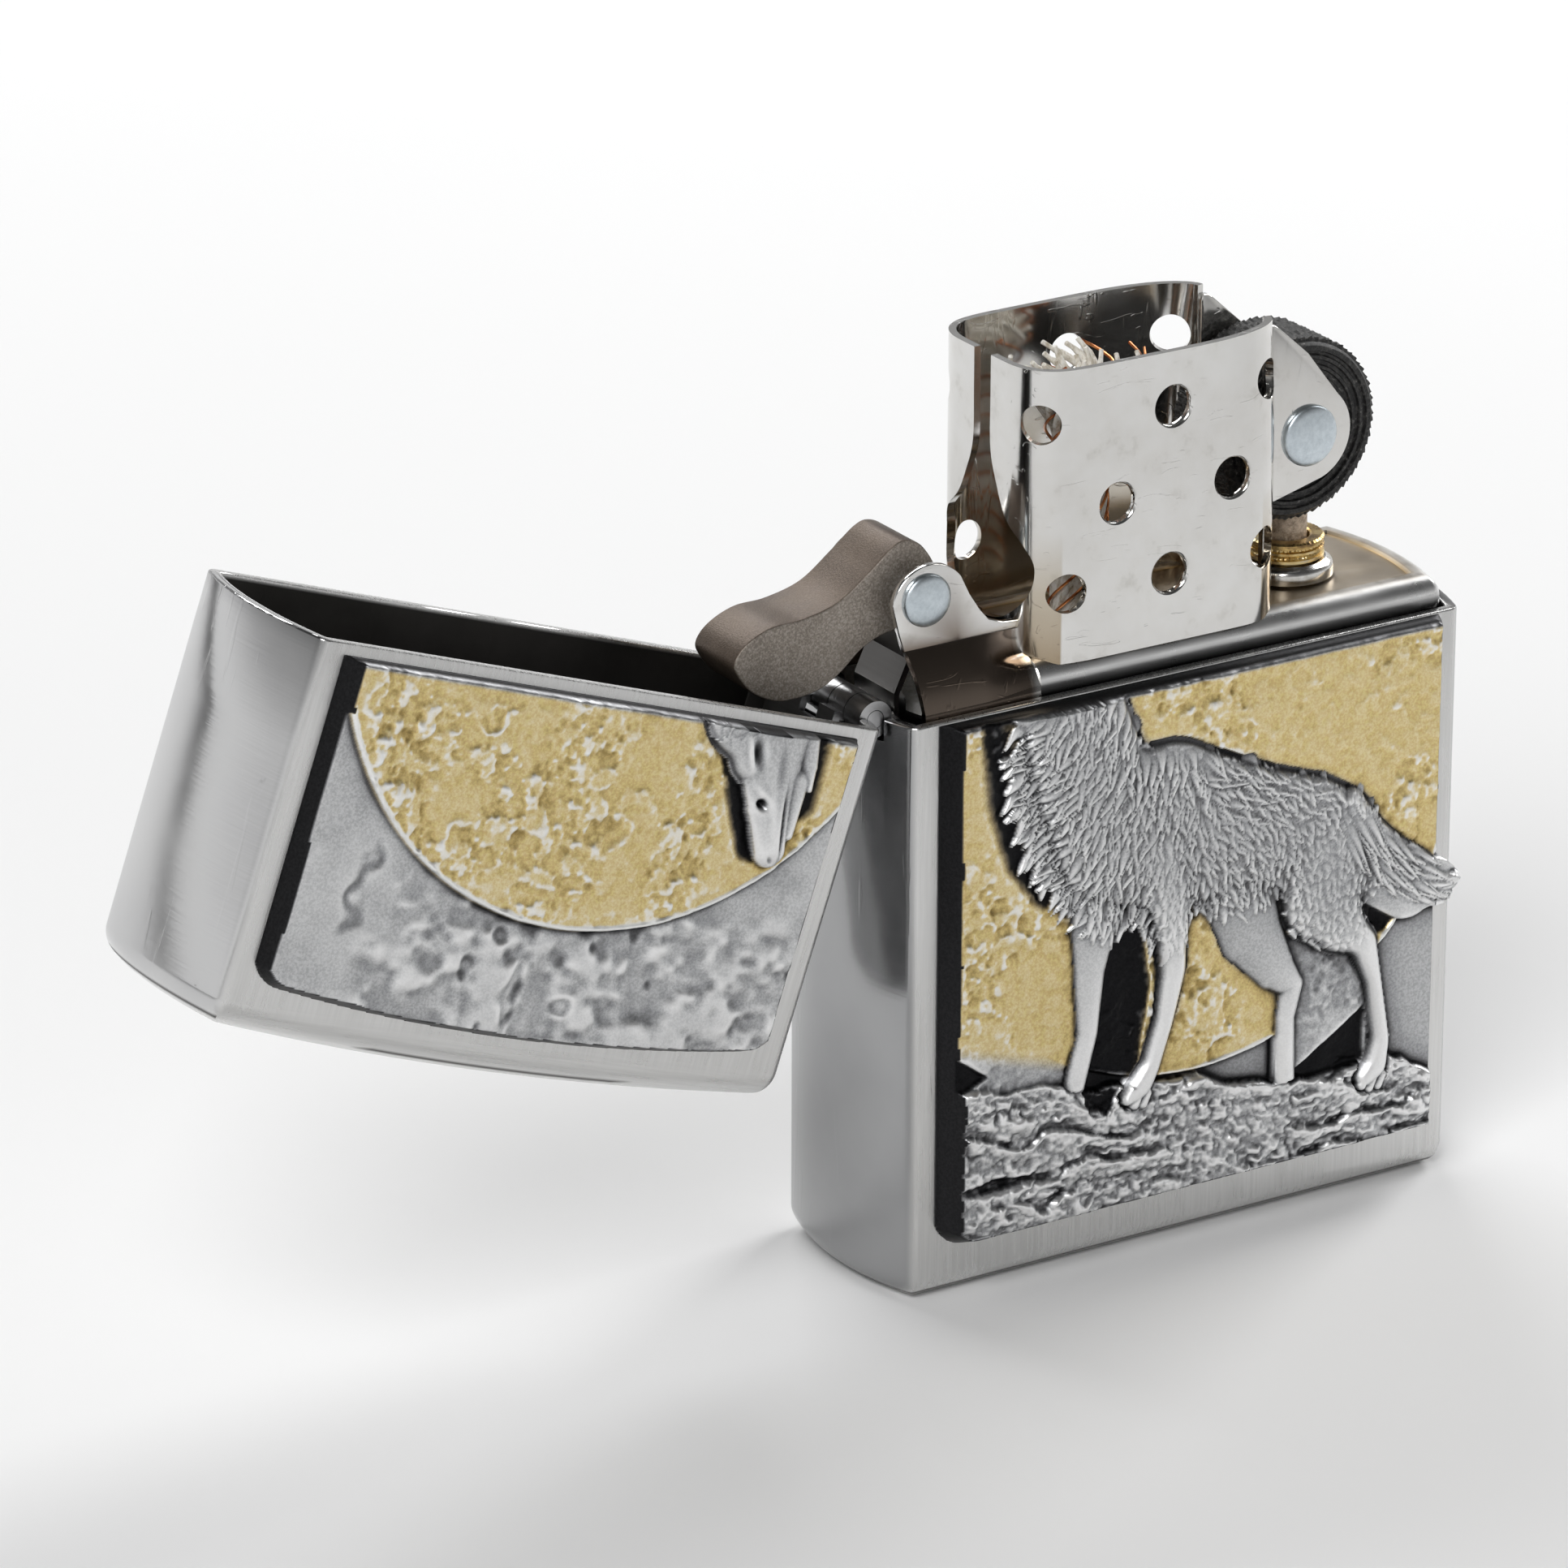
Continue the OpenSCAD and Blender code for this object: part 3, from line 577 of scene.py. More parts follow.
def arc_rings(inset, z, radius, base, dome=0.0):
    """Rings round a rounded edge: from the flat to the side at a base, from the side to the flat at a top."""
    out = []
    for i in range(EDGE_STEPS + 1):
        a = math.pi / 2 * i / EDGE_STEPS
        sine, cosine = radius * (1 - math.sin(a)), radius * (1 - math.cos(a))
        out.append(case_ring(inset + sine, z + cosine) if base else case_ring(inset + cosine, z - sine, dome))
    return out


def lip(z, direction):
    """Rings over the rolled edge of the sheet, outside to inside; direction is +1 where it ends upwards."""
    r = 0.13
    turns = [math.radians(a) for a in range(0, 181, 30)]
    rolled = [(r * (1 - math.cos(t)), t) for t in turns[:4]] + [(WALL - r * (1 + math.cos(t)),
                                                                 t) for t in turns[3:]]
    return [case_ring(inset, z - direction * r * (1 - math.sin(t))) for inset, t in rolled]


def mark_inside_shade(shell, rim):
    """Marks the vertices of a shell's inside, away from its rim, for the painted shade there. A vertex this
    deep is on the inside.
    """
    deep = 0.4
    x, y, z = points(shell).T
    bow = CASE_W / 2 - BOW + np.sqrt((BOW - deep) ** 2 - y ** 2)
    within = (np.abs(y) < CASE_D / 2 - deep) & (np.abs(x) < bow)
    within &= np.minimum(np.abs(z), np.abs(z - CLOSED_H + DOME)) > 0.3
    within &= (np.abs(z - rim) > 0.2) & (z < CLOSED_H - deep - DOME * (x / 19.2) ** 2)
    mark(shell, "painted_inside_shade", within)


def finish_shell(shell, rim, body, node):
    """Cuts room for the hinge's knuckles, marks the inside for its painted shade and puts a shell in its place.
    """
    cut(shell, rod(HINGE_X, HINGE_Z, HINGE_CUT_R, HINGE_CUT_LENGTH))
    shade(shell, 30)
    mark_inside_shade(shell, rim)
    place(shell, body, case_metal, "case_chrome", node, lid=body == "lid")


side = [case_ring(0, z) for z in (12, 22)]
inner = [case_ring(WALL, z) for z in (CASE_H - 0.3, 22, 12)]
lining_base = arc_rings(WALL, WALL, EDGE - WALL, True)[::-1]
case = loft("case_shell", arc_rings(0, 0, EDGE, True) + side + lip(CASE_H, 1) + inner + lining_base, 30)
finish_shell(case, CASE_H, "case", "case_body")

side = [case_ring(0, z) for z in (40, 48)]
inner = [case_ring(WALL, z) for z in (48, 40, LID_Z + 0.3)]
lining_top = arc_rings(WALL, CLOSED_H - WALL, EDGE - WALL, False, DOME)[::-1]
lid = loft("lid_cap", lining_top + inner + lip(LID_Z, -1)[::-1] + side + arc_rings(0, CLOSED_H, EDGE, False,
                                                                                   DOME), 30)
finish_shell(lid, LID_Z, "lid", "lid_shell")

for material, nodes in ((hinge_metal, ("case_hinge_leaf", "lid_hinge_leaf", "hinge_pin")),
                        (spring_metal, ("cam_spring", "cam_spring_rivet", "flint_spring")),
                        (brass, ("flint_plunger", "flint_screw"))):
    for node in nodes:
        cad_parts[node].data.materials.clear()
        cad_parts[node].data.materials.append(material)

# ---- insert: can, top plate and shoulders ----

can = loft("fuel_can_shell", [can_ring(0.12, 1.4), can_ring(0, 1.55), can_ring(0, SEAM_Z),
                              can_ring(SHEET, SEAM_Z),
                              can_ring(SHEET, 1.55)], 30)
cut(can, loft("hollow", [can_ring(SHEET, 0), can_ring(SHEET, 40)]))
shade(can, 30)
place(can, "insert", stainless, "insert_steel", "fuel_can")

SHOULDER, SHOULDER_STEPS = 1.2, 12
top_rings = [can_ring(0, SEAM_Z + 0.05), can_ring(0, PLATE_Z - SHOULDER - 0.3)]
for i in range(SHOULDER_STEPS + 1):
    a = math.pi / 2 * i / SHOULDER_STEPS
    top_rings.append(can_ring(SHOULDER * (1 - math.cos(a)), PLATE_Z - SHOULDER * (1 - math.sin(a))))
for inset, drop in ((0.25, 0.01), (0.42, 0.16), (0.7, 0.17)):
    top_rings.append(can_ring(SHOULDER + inset, PLATE_Z - drop))
top = loft("insert_top", top_rings, 30)
under = loft("under", [can_ring(SHEET, 30), can_ring(SHEET, PLATE_Z - SHOULDER),
                       can_ring(SHEET + 0.9, PLATE_Z - SHEET - 0.17)])
cut(top, under, block((-16.9, -8, 33.8), (-9.4, 8, 40)), block((-20, -3.08, 32), (-9.4, 3.08, 40)))
shade(top, 30)
co = points(top)
flat_ring = bowed(CAN_W, CAN_D, CAN_BOW, CAN_CORNER, SHOULDER + 0.5) + [CAN_X, 0]
distance = np.sqrt(((co[:, None, :2] - flat_ring[None]) ** 2).sum(-1)).min(1)
mark(top, "stain", np.where(co[:, 2] > 35.45, np.exp(-(distance / 0.3) ** 2), 0))

# ---- insert: windshield ----

# Plan of the half at -Y: along the front, then round the right end at the foot and at the rim.
front = [(-9.8, -0.4), (-9.8, -1.9), (-9.74, -3.0), (-9.42, -3.95), (-8.86, -4.66), (-7.98, -5.17),
         (-6.6, -5.41), (-4.8, -5.45), (-2, -5.46)]
low_end = [(1, -5.47), (3.2, -5.47), (4.6, -5.4), (5.7, -5.05), (6.45, -4.45), (6.8, -3.75), (6.86, -3.22)]
rim_end = [(0.6, -5.46), (2.6, -5.36), (4.3, -5.05), (5.5, -4.62), (6.3, -4.1), (6.7, -3.65), (6.84, -3.22)]
# Draught holes as (x, z), and the arcs the walls follow at their two ends: where each starts, and its radius.
HOLES = ((-9.45, 49.13), (-0.95, 49.05), (6.05, 49.2), (-4.5, 44.12), (3.07, 44.2), (-7.6, 39.43),
         (-1.0, 39.42), (5.5, 39.6))
LEFT_X, LEFT_R, RIGHT_X, RIGHT_R, SHIELD_Y = -7.55, 2.25, 4.3, 2.6, 5.45
HOLE_PROFILE = [(0, -1.2), (1.13, -1.2), (1.13, -0.12), (1.16, -0.06), (1.24, 0), (1.7, 0.35), (0, 0.35)]
# Keyhole opening at the hinge end as (y, z), from its rim down one side to its middle.
KEYHOLE = [(0.82, 58), (0.82, 53), (0.82, 50), (0.86, 46.9), (1.55, 44.9), (2.35, 43.4), (3.7, 42.15),
           (4.35, 40.9), (3.95, 39.1), (2.2, 37.6)]
low_curve, rim_curve = (spline(front + e, 10, False) for e in (low_end, rim_end))
wall_z = np.concatenate([np.linspace(PLATE_Z - 0.3, 44, 3), np.linspace(45, RIM_Z, 22)])
parts = []
for s in (-1, 1):
    grid = []
    for z in wall_z:
        w = min(max((z - 44) / (RIM_Z - 44), 0), 1) ** 2
        p = (low_curve * (1 - w) + rim_curve * w) * [1, -s]
        grid.append(np.stack([p[:, 0], p[:, 1], np.full(len(p), z)], -1))
    grid = np.array(grid)
    t = np.gradient(grid[:, :, :2], axis=1)
    t /= np.linalg.norm(t, axis=-1, keepdims=True)
    side = np.stack([-t[..., 1], t[..., 0], np.zeros(t.shape[:2])], -1) * SHEET * (1 if s < 0 else -1)
    if s > 0:
        grid, side = grid[:, ::-1], side[:, ::-1]
    parts.append(thick("wall", grid, side, 30))
for wall, s in zip(parts, (-1, 1)):
    cutters = []
    for at, z in HOLES:
        bend = -(max(LEFT_X - at, 0) / LEFT_R) + max(at - RIGHT_X, 0) / RIGHT_R
        r = LEFT_R if bend < 0 else RIGHT_R
        x = min(max(at, LEFT_X), RIGHT_X) + r * math.sin(bend)
        y = s * (SHIELD_Y - r + r * math.cos(bend))
        hole = lathe("hole", HOLE_PROFILE, (0, 0, 0), "z", 56)
        aim = Vector((math.sin(bend), s * math.cos(bend), 0)).to_track_quat("Z", "Y")
        hole.matrix_world = Matrix.Translation(Vector((x, y, z)) * MM) @ aim.to_matrix().to_4x4()
        cutters.append(hole)
    keyhole = spline(KEYHOLE + [(0, 37.15)] + [(-y, z) for y, z in KEYHOLE[::-1]], 6, False)
    n = len(keyhole)
    slot = [np.stack([np.full(n, x), keyhole[:, 0], keyhole[:, 1]], -1) for x in (-12, -8.55)]
    cutters.append(loft("slot", slot))
    bpy.context.view_layer.update()
    cut(wall, *cutters)


def ear_outline(cx, cz, r, a0, a1, rest, n=40):
    """An arc of n steps about (cx, cz) from a0 to a1 degrees, then the rest of the outline."""
    turns = [math.radians(a0 + (a1 - a0) * i / n) for i in range(n + 1)]
    return np.array([(cx + r * math.cos(t), cz + r * math.sin(t)) for t in turns] + rest)


wheel_ear = ear_outline(*WHEEL, 2.85, -70, 46, [(9.4, 49.6), (7.45, 51.35), (7.1, 51.62), (6.75, 51.68),
                                                (6.6, 51.3), (6.6, 46), (6.6, 41.4), (7.3, 41.35)])
cam_ear = ear_outline(-15.3, 39.6, 2.45, 36, 168,
                      [(-17.35, 38.6), (-16.95, 37.3), (-13.5, 37.3), (-9.3, 37.3), (-9.3, 37.75),
                       (-10.6, 37.85), (-11.5, 38.2), (-12.1, 38.9), (-12.75, 39.9)])
# Profile (y, z) of a ramp where it meets the rounded shoulder beside the chimney.
near = spline([(3.42, 37.45), (3.47, 36.7), (3.75, 35.98), (4.35, 35.72), (5.05, 35.35), (5.52, 34.6)], 4,
              False)
RAMP_STEPS, RAMP_LENGTH = 32, 7.5
for s in (-1, 1):
    for ear, inner, outer in ((wheel_ear, 2.98, 3.4), (cam_ear, 3.08, 3.5)):
        parts.append(plate_xz("ear", ear, *sorted((s * inner, s * outer)), 0.08, 3))
    # sloping shoulder from the cam ear down to the can, turning into the rounded shoulder by the chimney
    grid = []
    for i in range(len(near)):
        t = i / (len(near) - 1)
        bulge = math.sin(math.pi * t)
        row = []
        for j in range(RAMP_STEPS + 1):
            u = j / RAMP_STEPS
            w = step_up(u, 0.5, 1.0)
            y, z = np.array([3.42 + 2.1 * t, 37.45 - 3.15 * t]) * (1 - w) + near[i] * w
            row.append((-16.85 + u * RAMP_LENGTH, s * (y + 0.22 * bulge * (1 - w)), z + 0.1 * bulge * (1 - w)))
        grid.append(row)
    grid = np.array(grid)
    foot = np.stack([grid[-1] + [0, s * k * 0.015, 0] for k in range(3)])
    foot[1, :, 2], foot[2, :, 2] = 34.1, SEAM_Z + 0.05
    if s > 0:
        grid, foot = grid[:, ::-1], foot[:, ::-1]
    parts.append(thick("ramp", grid, np.array([0, -s * 0.28, -0.24])))
    parts.append(thick("foot", foot, np.array([0, -s * SHEET, 0])))
shield = join("windshield_sheet", parts, 30)
x, y, z = points(shield).T
within = (np.abs(y) < 5.25) & (x > -9.58) & (x < 6.6) & (z > 35) & (z < RIM_Z - 0.05)
within &= np.hypot(np.clip(LEFT_X - x, 0, 9), np.clip(np.abs(y) - 3.2, 0, 9)) < 2.03
mark(shield, "inside", within)
# the cam's ramps, for their painted dark reflection
mark(shield, "ramp", step_up(37.6 - z, 0, 0.25) * step_up(-9.55 - x, -0.1, 0.5) * (np.abs(y) > 3.3))
place(shield, "insert", stainless, "insert_steel", "windshield")
place(top, "insert", top_metal, "insert_steel")

# ---- insert: small parts ----


def dome(r, h):
    """Profile of a rivet's head above a face at height 0, from the rim to the middle."""
    steps, rim = 10, 0.12
    turns = [math.pi / 2 * k / steps for k in range(1, steps)]
    crown = [(r * math.cos(t), rim + (h - rim) * math.sin(t) ** 0.8) for t in turns]
    return [(r, 0), (r, rim)] + crown + [(0, h)]


for name, node, (x, z), shank, half, r, h in (("wheel_pin", "wheel_rivet", WHEEL, 0.9, 3.4, 1.76, 0.6),
                                              ("cam_pin", "cam_rivet", CAM, 0.8, 3.5, 1.5, 0.55)):
    head = dome(r, h)
    lower, upper = [(a, -half - b) for a, b in head[::-1]], [(a, half + b) for a, b in head]
    profile = lower + [(shank, -half), (shank, half)] + upper
    pin = lathe(name, profile, (x, 0, z), "y", 64, 40)
    place(pin, "insert", zinc, "rivet_zinc", node)

profile = [(1.32, 3.4), (1.75, 3.4), (1.75, 36.7), (2.1, 36.7), (2.2, 36.78), (2.2, 36.95), (2.05, 37.0),
           (1.98, 37.1), (2.05, 37.2), (2.2, 37.26), (2.2, 37.4), (2.08, 37.46), (2.08, 37.56), (2.2, 37.62),
           (2.2, 37.85), (2.1, 37.95), (1.5, 37.95), (1.38, 37.88), (1.32, 37.7)]


def knurl(r, h, t):
    return r - 0.05 * (np.abs(r - 2.05) < 0.09) * (np.cos(48 * t) > 0)


ferrule = lathe("flint_ferrule", profile, (TUBE_X, 0, 0), "z", 192, 30, knurl)
place(ferrule, "insert", brass, "tube_brass", "flint_tube")
profile = [(1.76, 0), (2.75, 0), (2.75, 0.5), (2.7, 0.66), (2.58, 0.78), (2.42, 0.86), (2.3, 0.95),
           (1.95, 0.95), (1.76, 0.9)]
collar = lathe("tube_flange", profile, (TUBE_X, 0, PLATE_Z), "z", 96, 30)
place(collar, "insert", nickel, "collar_nickel", "tube_collar")

# The flint's worn top stands just clear of the wheel's rim.
WHEEL_R = 5.3
flint_top = WHEEL[1] - math.sqrt(WHEEL_R ** 2 - (TUBE_X - WHEEL[0]) ** 2) - 0.12
profile = [(0, flint_top - 4.6), (1.2, flint_top - 4.6), (1.2, flint_top - 0.28), (1.12, flint_top - 0.1),
           (0.95, flint_top), (0.5, flint_top - 0.02), (0, flint_top - 0.03)]
flint = lathe("worn_flint", profile, (TUBE_X, 0, 0), "z", 48, 40,
              lambda r, h, t: r * (1 + 0.012 * np.sin(5 * t + 3 * h)))
place(flint, "feed", flint_metal, "flint_alloy", "flint")

# Spark wheel: cut teeth round the rim and fine concentric ridges on both faces.
half = [(0.94, 2.5), (2.2, 2.5), (2.26, 2.46), (2.32, 2.3), (3.0, 2.3), (3.06, 2.3), (3.12, 2.42), (3.24, 2.42),
        (3.32, 2.3), (3.56, 2.3), (3.62, 2.44), (3.78, 2.44), (3.86, 2.32), (4.06, 2.32), (4.12, 2.48),
        (4.3, 2.48), (4.38, 2.34), (4.52, 2.34), (4.58, 2.5), (4.86, 2.5), (4.98, 2.36), (5.02, 2.22),
        (WHEEL_R, 2.12)]
band = [(WHEEL_R, w) for w in (1.7, 1.28, 0.86, 0.44, 0.0, -0.44, -0.86, -1.28, -1.7)]
profile = half + band + [(r, -y) for r, y in half[::-1]]


def teeth(r, h, t):
    """Skewed saw teeth in two staggered rows on the rim."""
    skew = t + h * 0.09 + 0.012 * np.sin(7 * t)
    saw = (skew * 72 / (2 * math.pi)) % 1.0
    row = np.where((h / 0.84) % 1.0 < 0.5, 0.0, 0.06)
    return np.where(r > 5.2, r - 0.15 * saw - 0.03 * np.sin(31 * t) - row * (np.abs(h) < 2), r)


wheel = lathe("file_cut_wheel", profile[::-1], (WHEEL[0], 0, WHEEL[1]), "y", 480, 30, teeth)
place(wheel, "wheel", wheel_black, "wheel_steel", "spark_wheel")

outline = [(-26.8, 38.2), (-26, 39.1), (-24.4, 39.75), (-22.4, 39.85), (-20.2, 40.4), (-18.3, 41.7),
           (-16.8, 42.85), (-15.9, 43.1), (-14.9, 42.6), (-14, 41.2), (-13.7, 39.8), (-14.2, 38.7),
           (-15.6, 38.1), (-17.2, 38), (-18.7, 37.4), (-20.2, 36.2), (-21.7, 35.5), (-23.9, 35.4),
           (-25.6, 36.2), (-26.6, 37.4)]
cam = plate_xz("cam_block", spline(outline, 9)[::-1], -2.05, 2.05, 0.13, 4, 40)
cut(cam, rod(CAM[0], CAM[1], 0.84, 6))
shade(cam, 40)
place(cam, "cam", sintered, "cam_sintered", "cam_lever")

# Wick: a twisted cord that frays at its top, with copper wires through it.
rng = np.random.default_rng(7)
STRANDS, WIRES, GOLDEN_ANGLE = 46, 9, 2.39996
strands, wires = [], []
for k in range(STRANDS):
    ring_at = math.sqrt((k + 0.5) / STRANDS)
    phase = k * GOLDEN_ANGLE
    top_z = 51.2 - rng.uniform(0, 2.0)
    z = np.concatenate([np.linspace(35, 46.5, 24), np.linspace(46.9, top_z, 12)])
    flare = np.clip((z - 46) / 4.2, 0, 1) ** 1.5
    turn = phase + (z - 35) * 0.38
    r = ring_at * (1.42 + 1.7 * flare * (0.5 + rng.uniform(0, 0.7)))
    sway = 0.16 * np.sin(z * rng.uniform(1.2, 2.4) + rng.uniform(0, 6)) * flare
    x = WICK_X - 0.9 * flare + r * np.cos(turn) * (1 + 0.35 * flare) + sway
    strands.append(tube(np.stack([x, r * np.sin(turn) + sway, z], -1), np.where(z > top_z - 0.5, 0.14, 0.22),
                        6))
for k in range(WIRES):
    phase = k * 2 * math.pi / WIRES + 0.3
    top_z = 50.9 - rng.uniform(0, 1.6)
    z = np.linspace(36, top_z, 44)
    flare = np.clip((z - 45.5) / 4.5, 0, 1) ** 1.3
    turn = phase + (z - 36) * 0.62
    r = 1.62 + flare * rng.uniform(0.4, 1.9)
    path = np.stack([WICK_X + r * np.cos(turn) * (1 + 0.3 * flare), r * np.sin(turn), z], -1)
    wires.append(tube(path, 0.085, 6))
strands.append(tube(np.stack([np.full(30, WICK_X), np.zeros(30), np.linspace(22, 40, 30)], -1), 1.45, 20))
place(bundle("frayed_wick", strands), "insert", fibre, "wick_cotton", "wick")
place(bundle("wick_strands", wires), "insert", copper, "wire_copper", "wick_wire")


def soft_block(name, w, d, low, high, lump, seed, holes):
    """A lumpy rounded wad between two heights, clear of holes given as (x, r)."""
    steps = 16
    rings = []
    for i in range(steps + 1):
        a = math.pi * (i / steps - 0.5)
        inset = 0.9 * (1 - max(math.cos(a), 0) ** 0.4)
        p = ring(w, d, CAN_BOW, 0.9, inset, low + (high - low) * (math.sin(a) + 1) / 2, x=CAN_X)
        local = np.random.default_rng(seed + i)
        t = np.linspace(0, 2 * math.pi, len(p), endpoint=False)
        wave = sum(np.sin(k * t + local.uniform(0, 6)) * local.uniform(0.2, 1) / k for k in range(3, 14))
        p[:, :2] *= (1 - lump * (0.5 + 0.5 * np.tanh(wave)))[:, None]
        rings.append(p)
    obj = loft(name, rings, 60)
    cut(obj, *[rod_z(x, r, low - 1, high + 1) for x, r in holes])
    shade(obj, 60)
    return obj


WAD_LOW, WAD_PITCH, WAD_HEIGHT = 6.4, 6.675, 6.475
wads = []
for k in range(4):
    low = WAD_LOW + WAD_PITCH * k
    wads.append(soft_block("wad", CAN_W - 5, CAN_D - 1.24, low, low + WAD_HEIGHT, 0.03, 20 + k,
                           [(TUBE_X, 1.9), (WICK_X, 1.85)]))
wads = join("cotton_wads", wads, 60)
place(wads, "insert", wool, "packing_cotton", "cotton_packing")
pad = soft_block("felt_flap", CAN_W - 1.14, CAN_D - 1.14, 2.3, 6.0, 0.006, 50, [(TUBE_X, 3.0)])
place(pad, "insert", felt, "pad_felt", "felt_pad")

# ---- cast emblem: a howling wolf before a full moon, as one relief split at the lid's edge ----

STEP = 0.085
EX = np.arange(-16.9, 17.75, STEP)
EZ = np.arange(2.6, 54.2, STEP)
X, Z = np.meshgrid(EX, EZ)
MOON = (-0.2, 28.9, 18.4)
# The case's face, the plaque's back just inside it, and the height above which the relief is softly held.
FACE_Y, BACK_Y, CAP = -6.3, -6.28, 1.85


def value_noise(cell_x, cell_z, seed, x=X, z=Z):
    """Smooth noise from -1 to 1 with the given cell sizes."""
    table = np.random.default_rng(seed).uniform(-1, 1, (257, 257))
    u, v = (x + 60) / cell_x, (z + 20) / cell_z
    i, j = np.floor(u).astype(int), np.floor(v).astype(int)
    fu, fv = u - i, v - j
    fu, fv = fu * fu * (3 - 2 * fu), fv * fv * (3 - 2 * fv)
    i, j, i1, j1 = i % 257, j % 257, (i + 1) % 257, (j + 1) % 257
    near, far = table[i, j] * (1 - fu) + table[i1, j] * fu, table[i, j1] * (1 - fu) + table[i1, j1] * fu
    return near * (1 - fv) + far * fv


def fractal(cell, seed, octaves=4, squash=1.0, x=X, z=Z):
    """Value noise summed over octaves, each with half the cell of the one before."""
    return sum(value_noise(cell / 2 ** k, cell / squash / 2 ** k, seed + k, x,
                           z) / 1.9 ** k for k in range(octaves))


def blurred(field, sigma):
    """Gaussian blur with sigma in millimetres."""
    n = int(3 * sigma / STEP) + 1
    k = np.exp(-0.5 * (np.arange(-n, n + 1) * STEP / sigma) ** 2)
    k /= k.sum()
    for axis in (0, 1):
        pad = [(n, n) if a == axis else (0, 0) for a in (0, 1)]
        padded = np.pad(field, pad, mode="edge")
        field = np.apply_along_axis(lambda row: np.convolve(row, k, "valid"), axis, padded)
    return field


def limb(points, low, high, flat=0.5):
    """A rounded ridge through (x, z, radius) points, from height low at its edge to high along its middle."""
    best = np.zeros_like(X)
    for (ax, az, ar), (bx, bz, br) in zip(points, points[1:]):
        dx, dz = bx - ax, bz - az
        t = np.clip(((X - ax) * dx + (Z - az) * dz) / (dx * dx + dz * dz), 0, 1)
        q = np.hypot(X - ax - t * dx, Z - az - t * dz) / (ar + (br - ar) * t)
        best = np.maximum(best, np.where(q < 1, low + (high - low) * np.clip(1 - q * q, 0, 1) ** flat, 0))
    return best


def limbs(low, high, *paths):
    """The highest of several limbs that share their heights."""
    return np.maximum.reduce([limb(path, low, high) for path in paths])


def craters(rings):
    """Raised rims round sunken floors, from (x, z, radius, depth)."""
    out = np.zeros_like(X)
    warp_x, warp_z = 0.3 * fractal(1.3, 201, 3), 0.3 * fractal(1.3, 211, 3)
    for k, (cx, cz, r, depth) in enumerate(rings):
        d = np.hypot(X + warp_x - cx, (Z + warp_z - cz) * 1.05) / r
        around = 0.6 + 0.4 * np.cos(np.arctan2(Z - cz, X - cx) - k * 1.7)
        out += depth * (around * np.exp(-((d - 1) / 0.2) ** 2) - 0.6 * (1 - step_up(d, 0.5, 1.0)))
    return out


# Background: smooth clouds with soft billows between the moon and the top.
puff = fractal(4.2, 11, 3)
billow = fractal(2.3, 21, 3, 1.2)
band = step_up(Z + 1.6 * puff, 44, 48) * step_up(11.5 + 2 * puff - X, 0, 3)
folds = 0.24 * np.tanh(1.8 * billow) - 0.2 * step_up(-fractal(1.7, 41, 2), 0.62, 0.95)
cloud = 0.68 + 0.12 * np.tanh(puff) + band * folds
gap = np.exp(-((X - 12.2 - 0.9 * value_noise(1.3, 1.1, 45)) / 0.34) ** 2)
cloud -= 0.2 * gap * step_up(Z, 43.5, 45) * step_up(49.5 - Z, 0, 1)
height = np.where(Z > 34, blurred(cloud, 0.1), 0.66)
plain = np.where(Z > 34, 0.1, 0.04)

# Moon: a raised disc, cratered and hammered.
from_moon = np.hypot(X - MOON[0], Z - MOON[1])
disc = step_up(MOON[2] - from_moon, -0.04, 0.2)
ring_list = [(11.6, 39.4, 2.0, 0.11), (3.4, 37.6, 1.9, 0.06), (-1.5, 41.6, 1.3, 0.07), (7.3, 43.2, 1.1, 0.08),
             (14.2, 36.3, 1.1, 0.07), (7.6, 36.6, 0.9, 0.08)]
flakes = np.tanh(3.2 * fractal(0.85, 71, 3)) * 0.05 + np.tanh(4 * fractal(2.2, 75, 3)) * 0.03
rough = 0.05 * fractal(2.4, 61, 3) + flakes + 0.05 * (0.5 - np.abs(fractal(1.5, 77, 3)))
rough += 0.03 * fractal(0.42, 81, 2)
worn = step_up(fractal(3.8, 91, 3), -0.3, 0.6)
moon = 0.98 + 0.16 * (1 - (from_moon / MOON[2]) ** 2) + craters(ring_list) + rough * (0.4 + 0.9 * worn)
moon += 0.1 * np.exp(-((MOON[2] - 0.22 - from_moon) / 0.16) ** 2)
height = height * (1 - disc) + moon * disc
lower_left = step_up(-7 - X, 0, 0.6) * step_up(21 - Z, 0, 0.6)
between = step_up(X, 5.2, 6.2) * step_up(12.2 - X, 0, 0.3) * step_up(17.6 - Z, 0, 0.5)
gold = np.maximum(disc, lower_left * step_up(Z + 0.3 * X, 9.6, 10.8)) * (1 - between)
filled = np.maximum(lower_left, between)
height = height * (1 - filled) + (0.98 + rough * (0.4 + 0.9 * worn)) * filled
plain = plain * (1 - disc)

# Rocky ground in thin tilted layers.
rise = 0.9 * step_up(X, 9, 13) * (1 - step_up(X, 15, 17))
ground_line = 12.9 - 0.2 * (X + 14.7) + 0.55 * fractal(2.6, 101, 3, 1, X, X * 0) + rise
tilt = Z + 0.12 * X + 0.35 * fractal(5.0, 111, 2)
ledge = (tilt * 0.52 + 0.75 * fractal(6.0, 121, 3, 1.6, X, tilt)) % 1.0
depth = 0.1 + 0.34 * step_up(fractal(5.0, 125, 2, 2.5, X, tilt), -0.4, 0.6)
ledge = np.minimum(ledge, (1 - ledge) * 7) * depth
stone = 1.16 + ledge + 0.1 * fractal(1.5, 131, 2, 1.6, X, tilt)
stone += 0.22 * np.abs(fractal(0.9, 141, 3, 1.4, X, tilt))
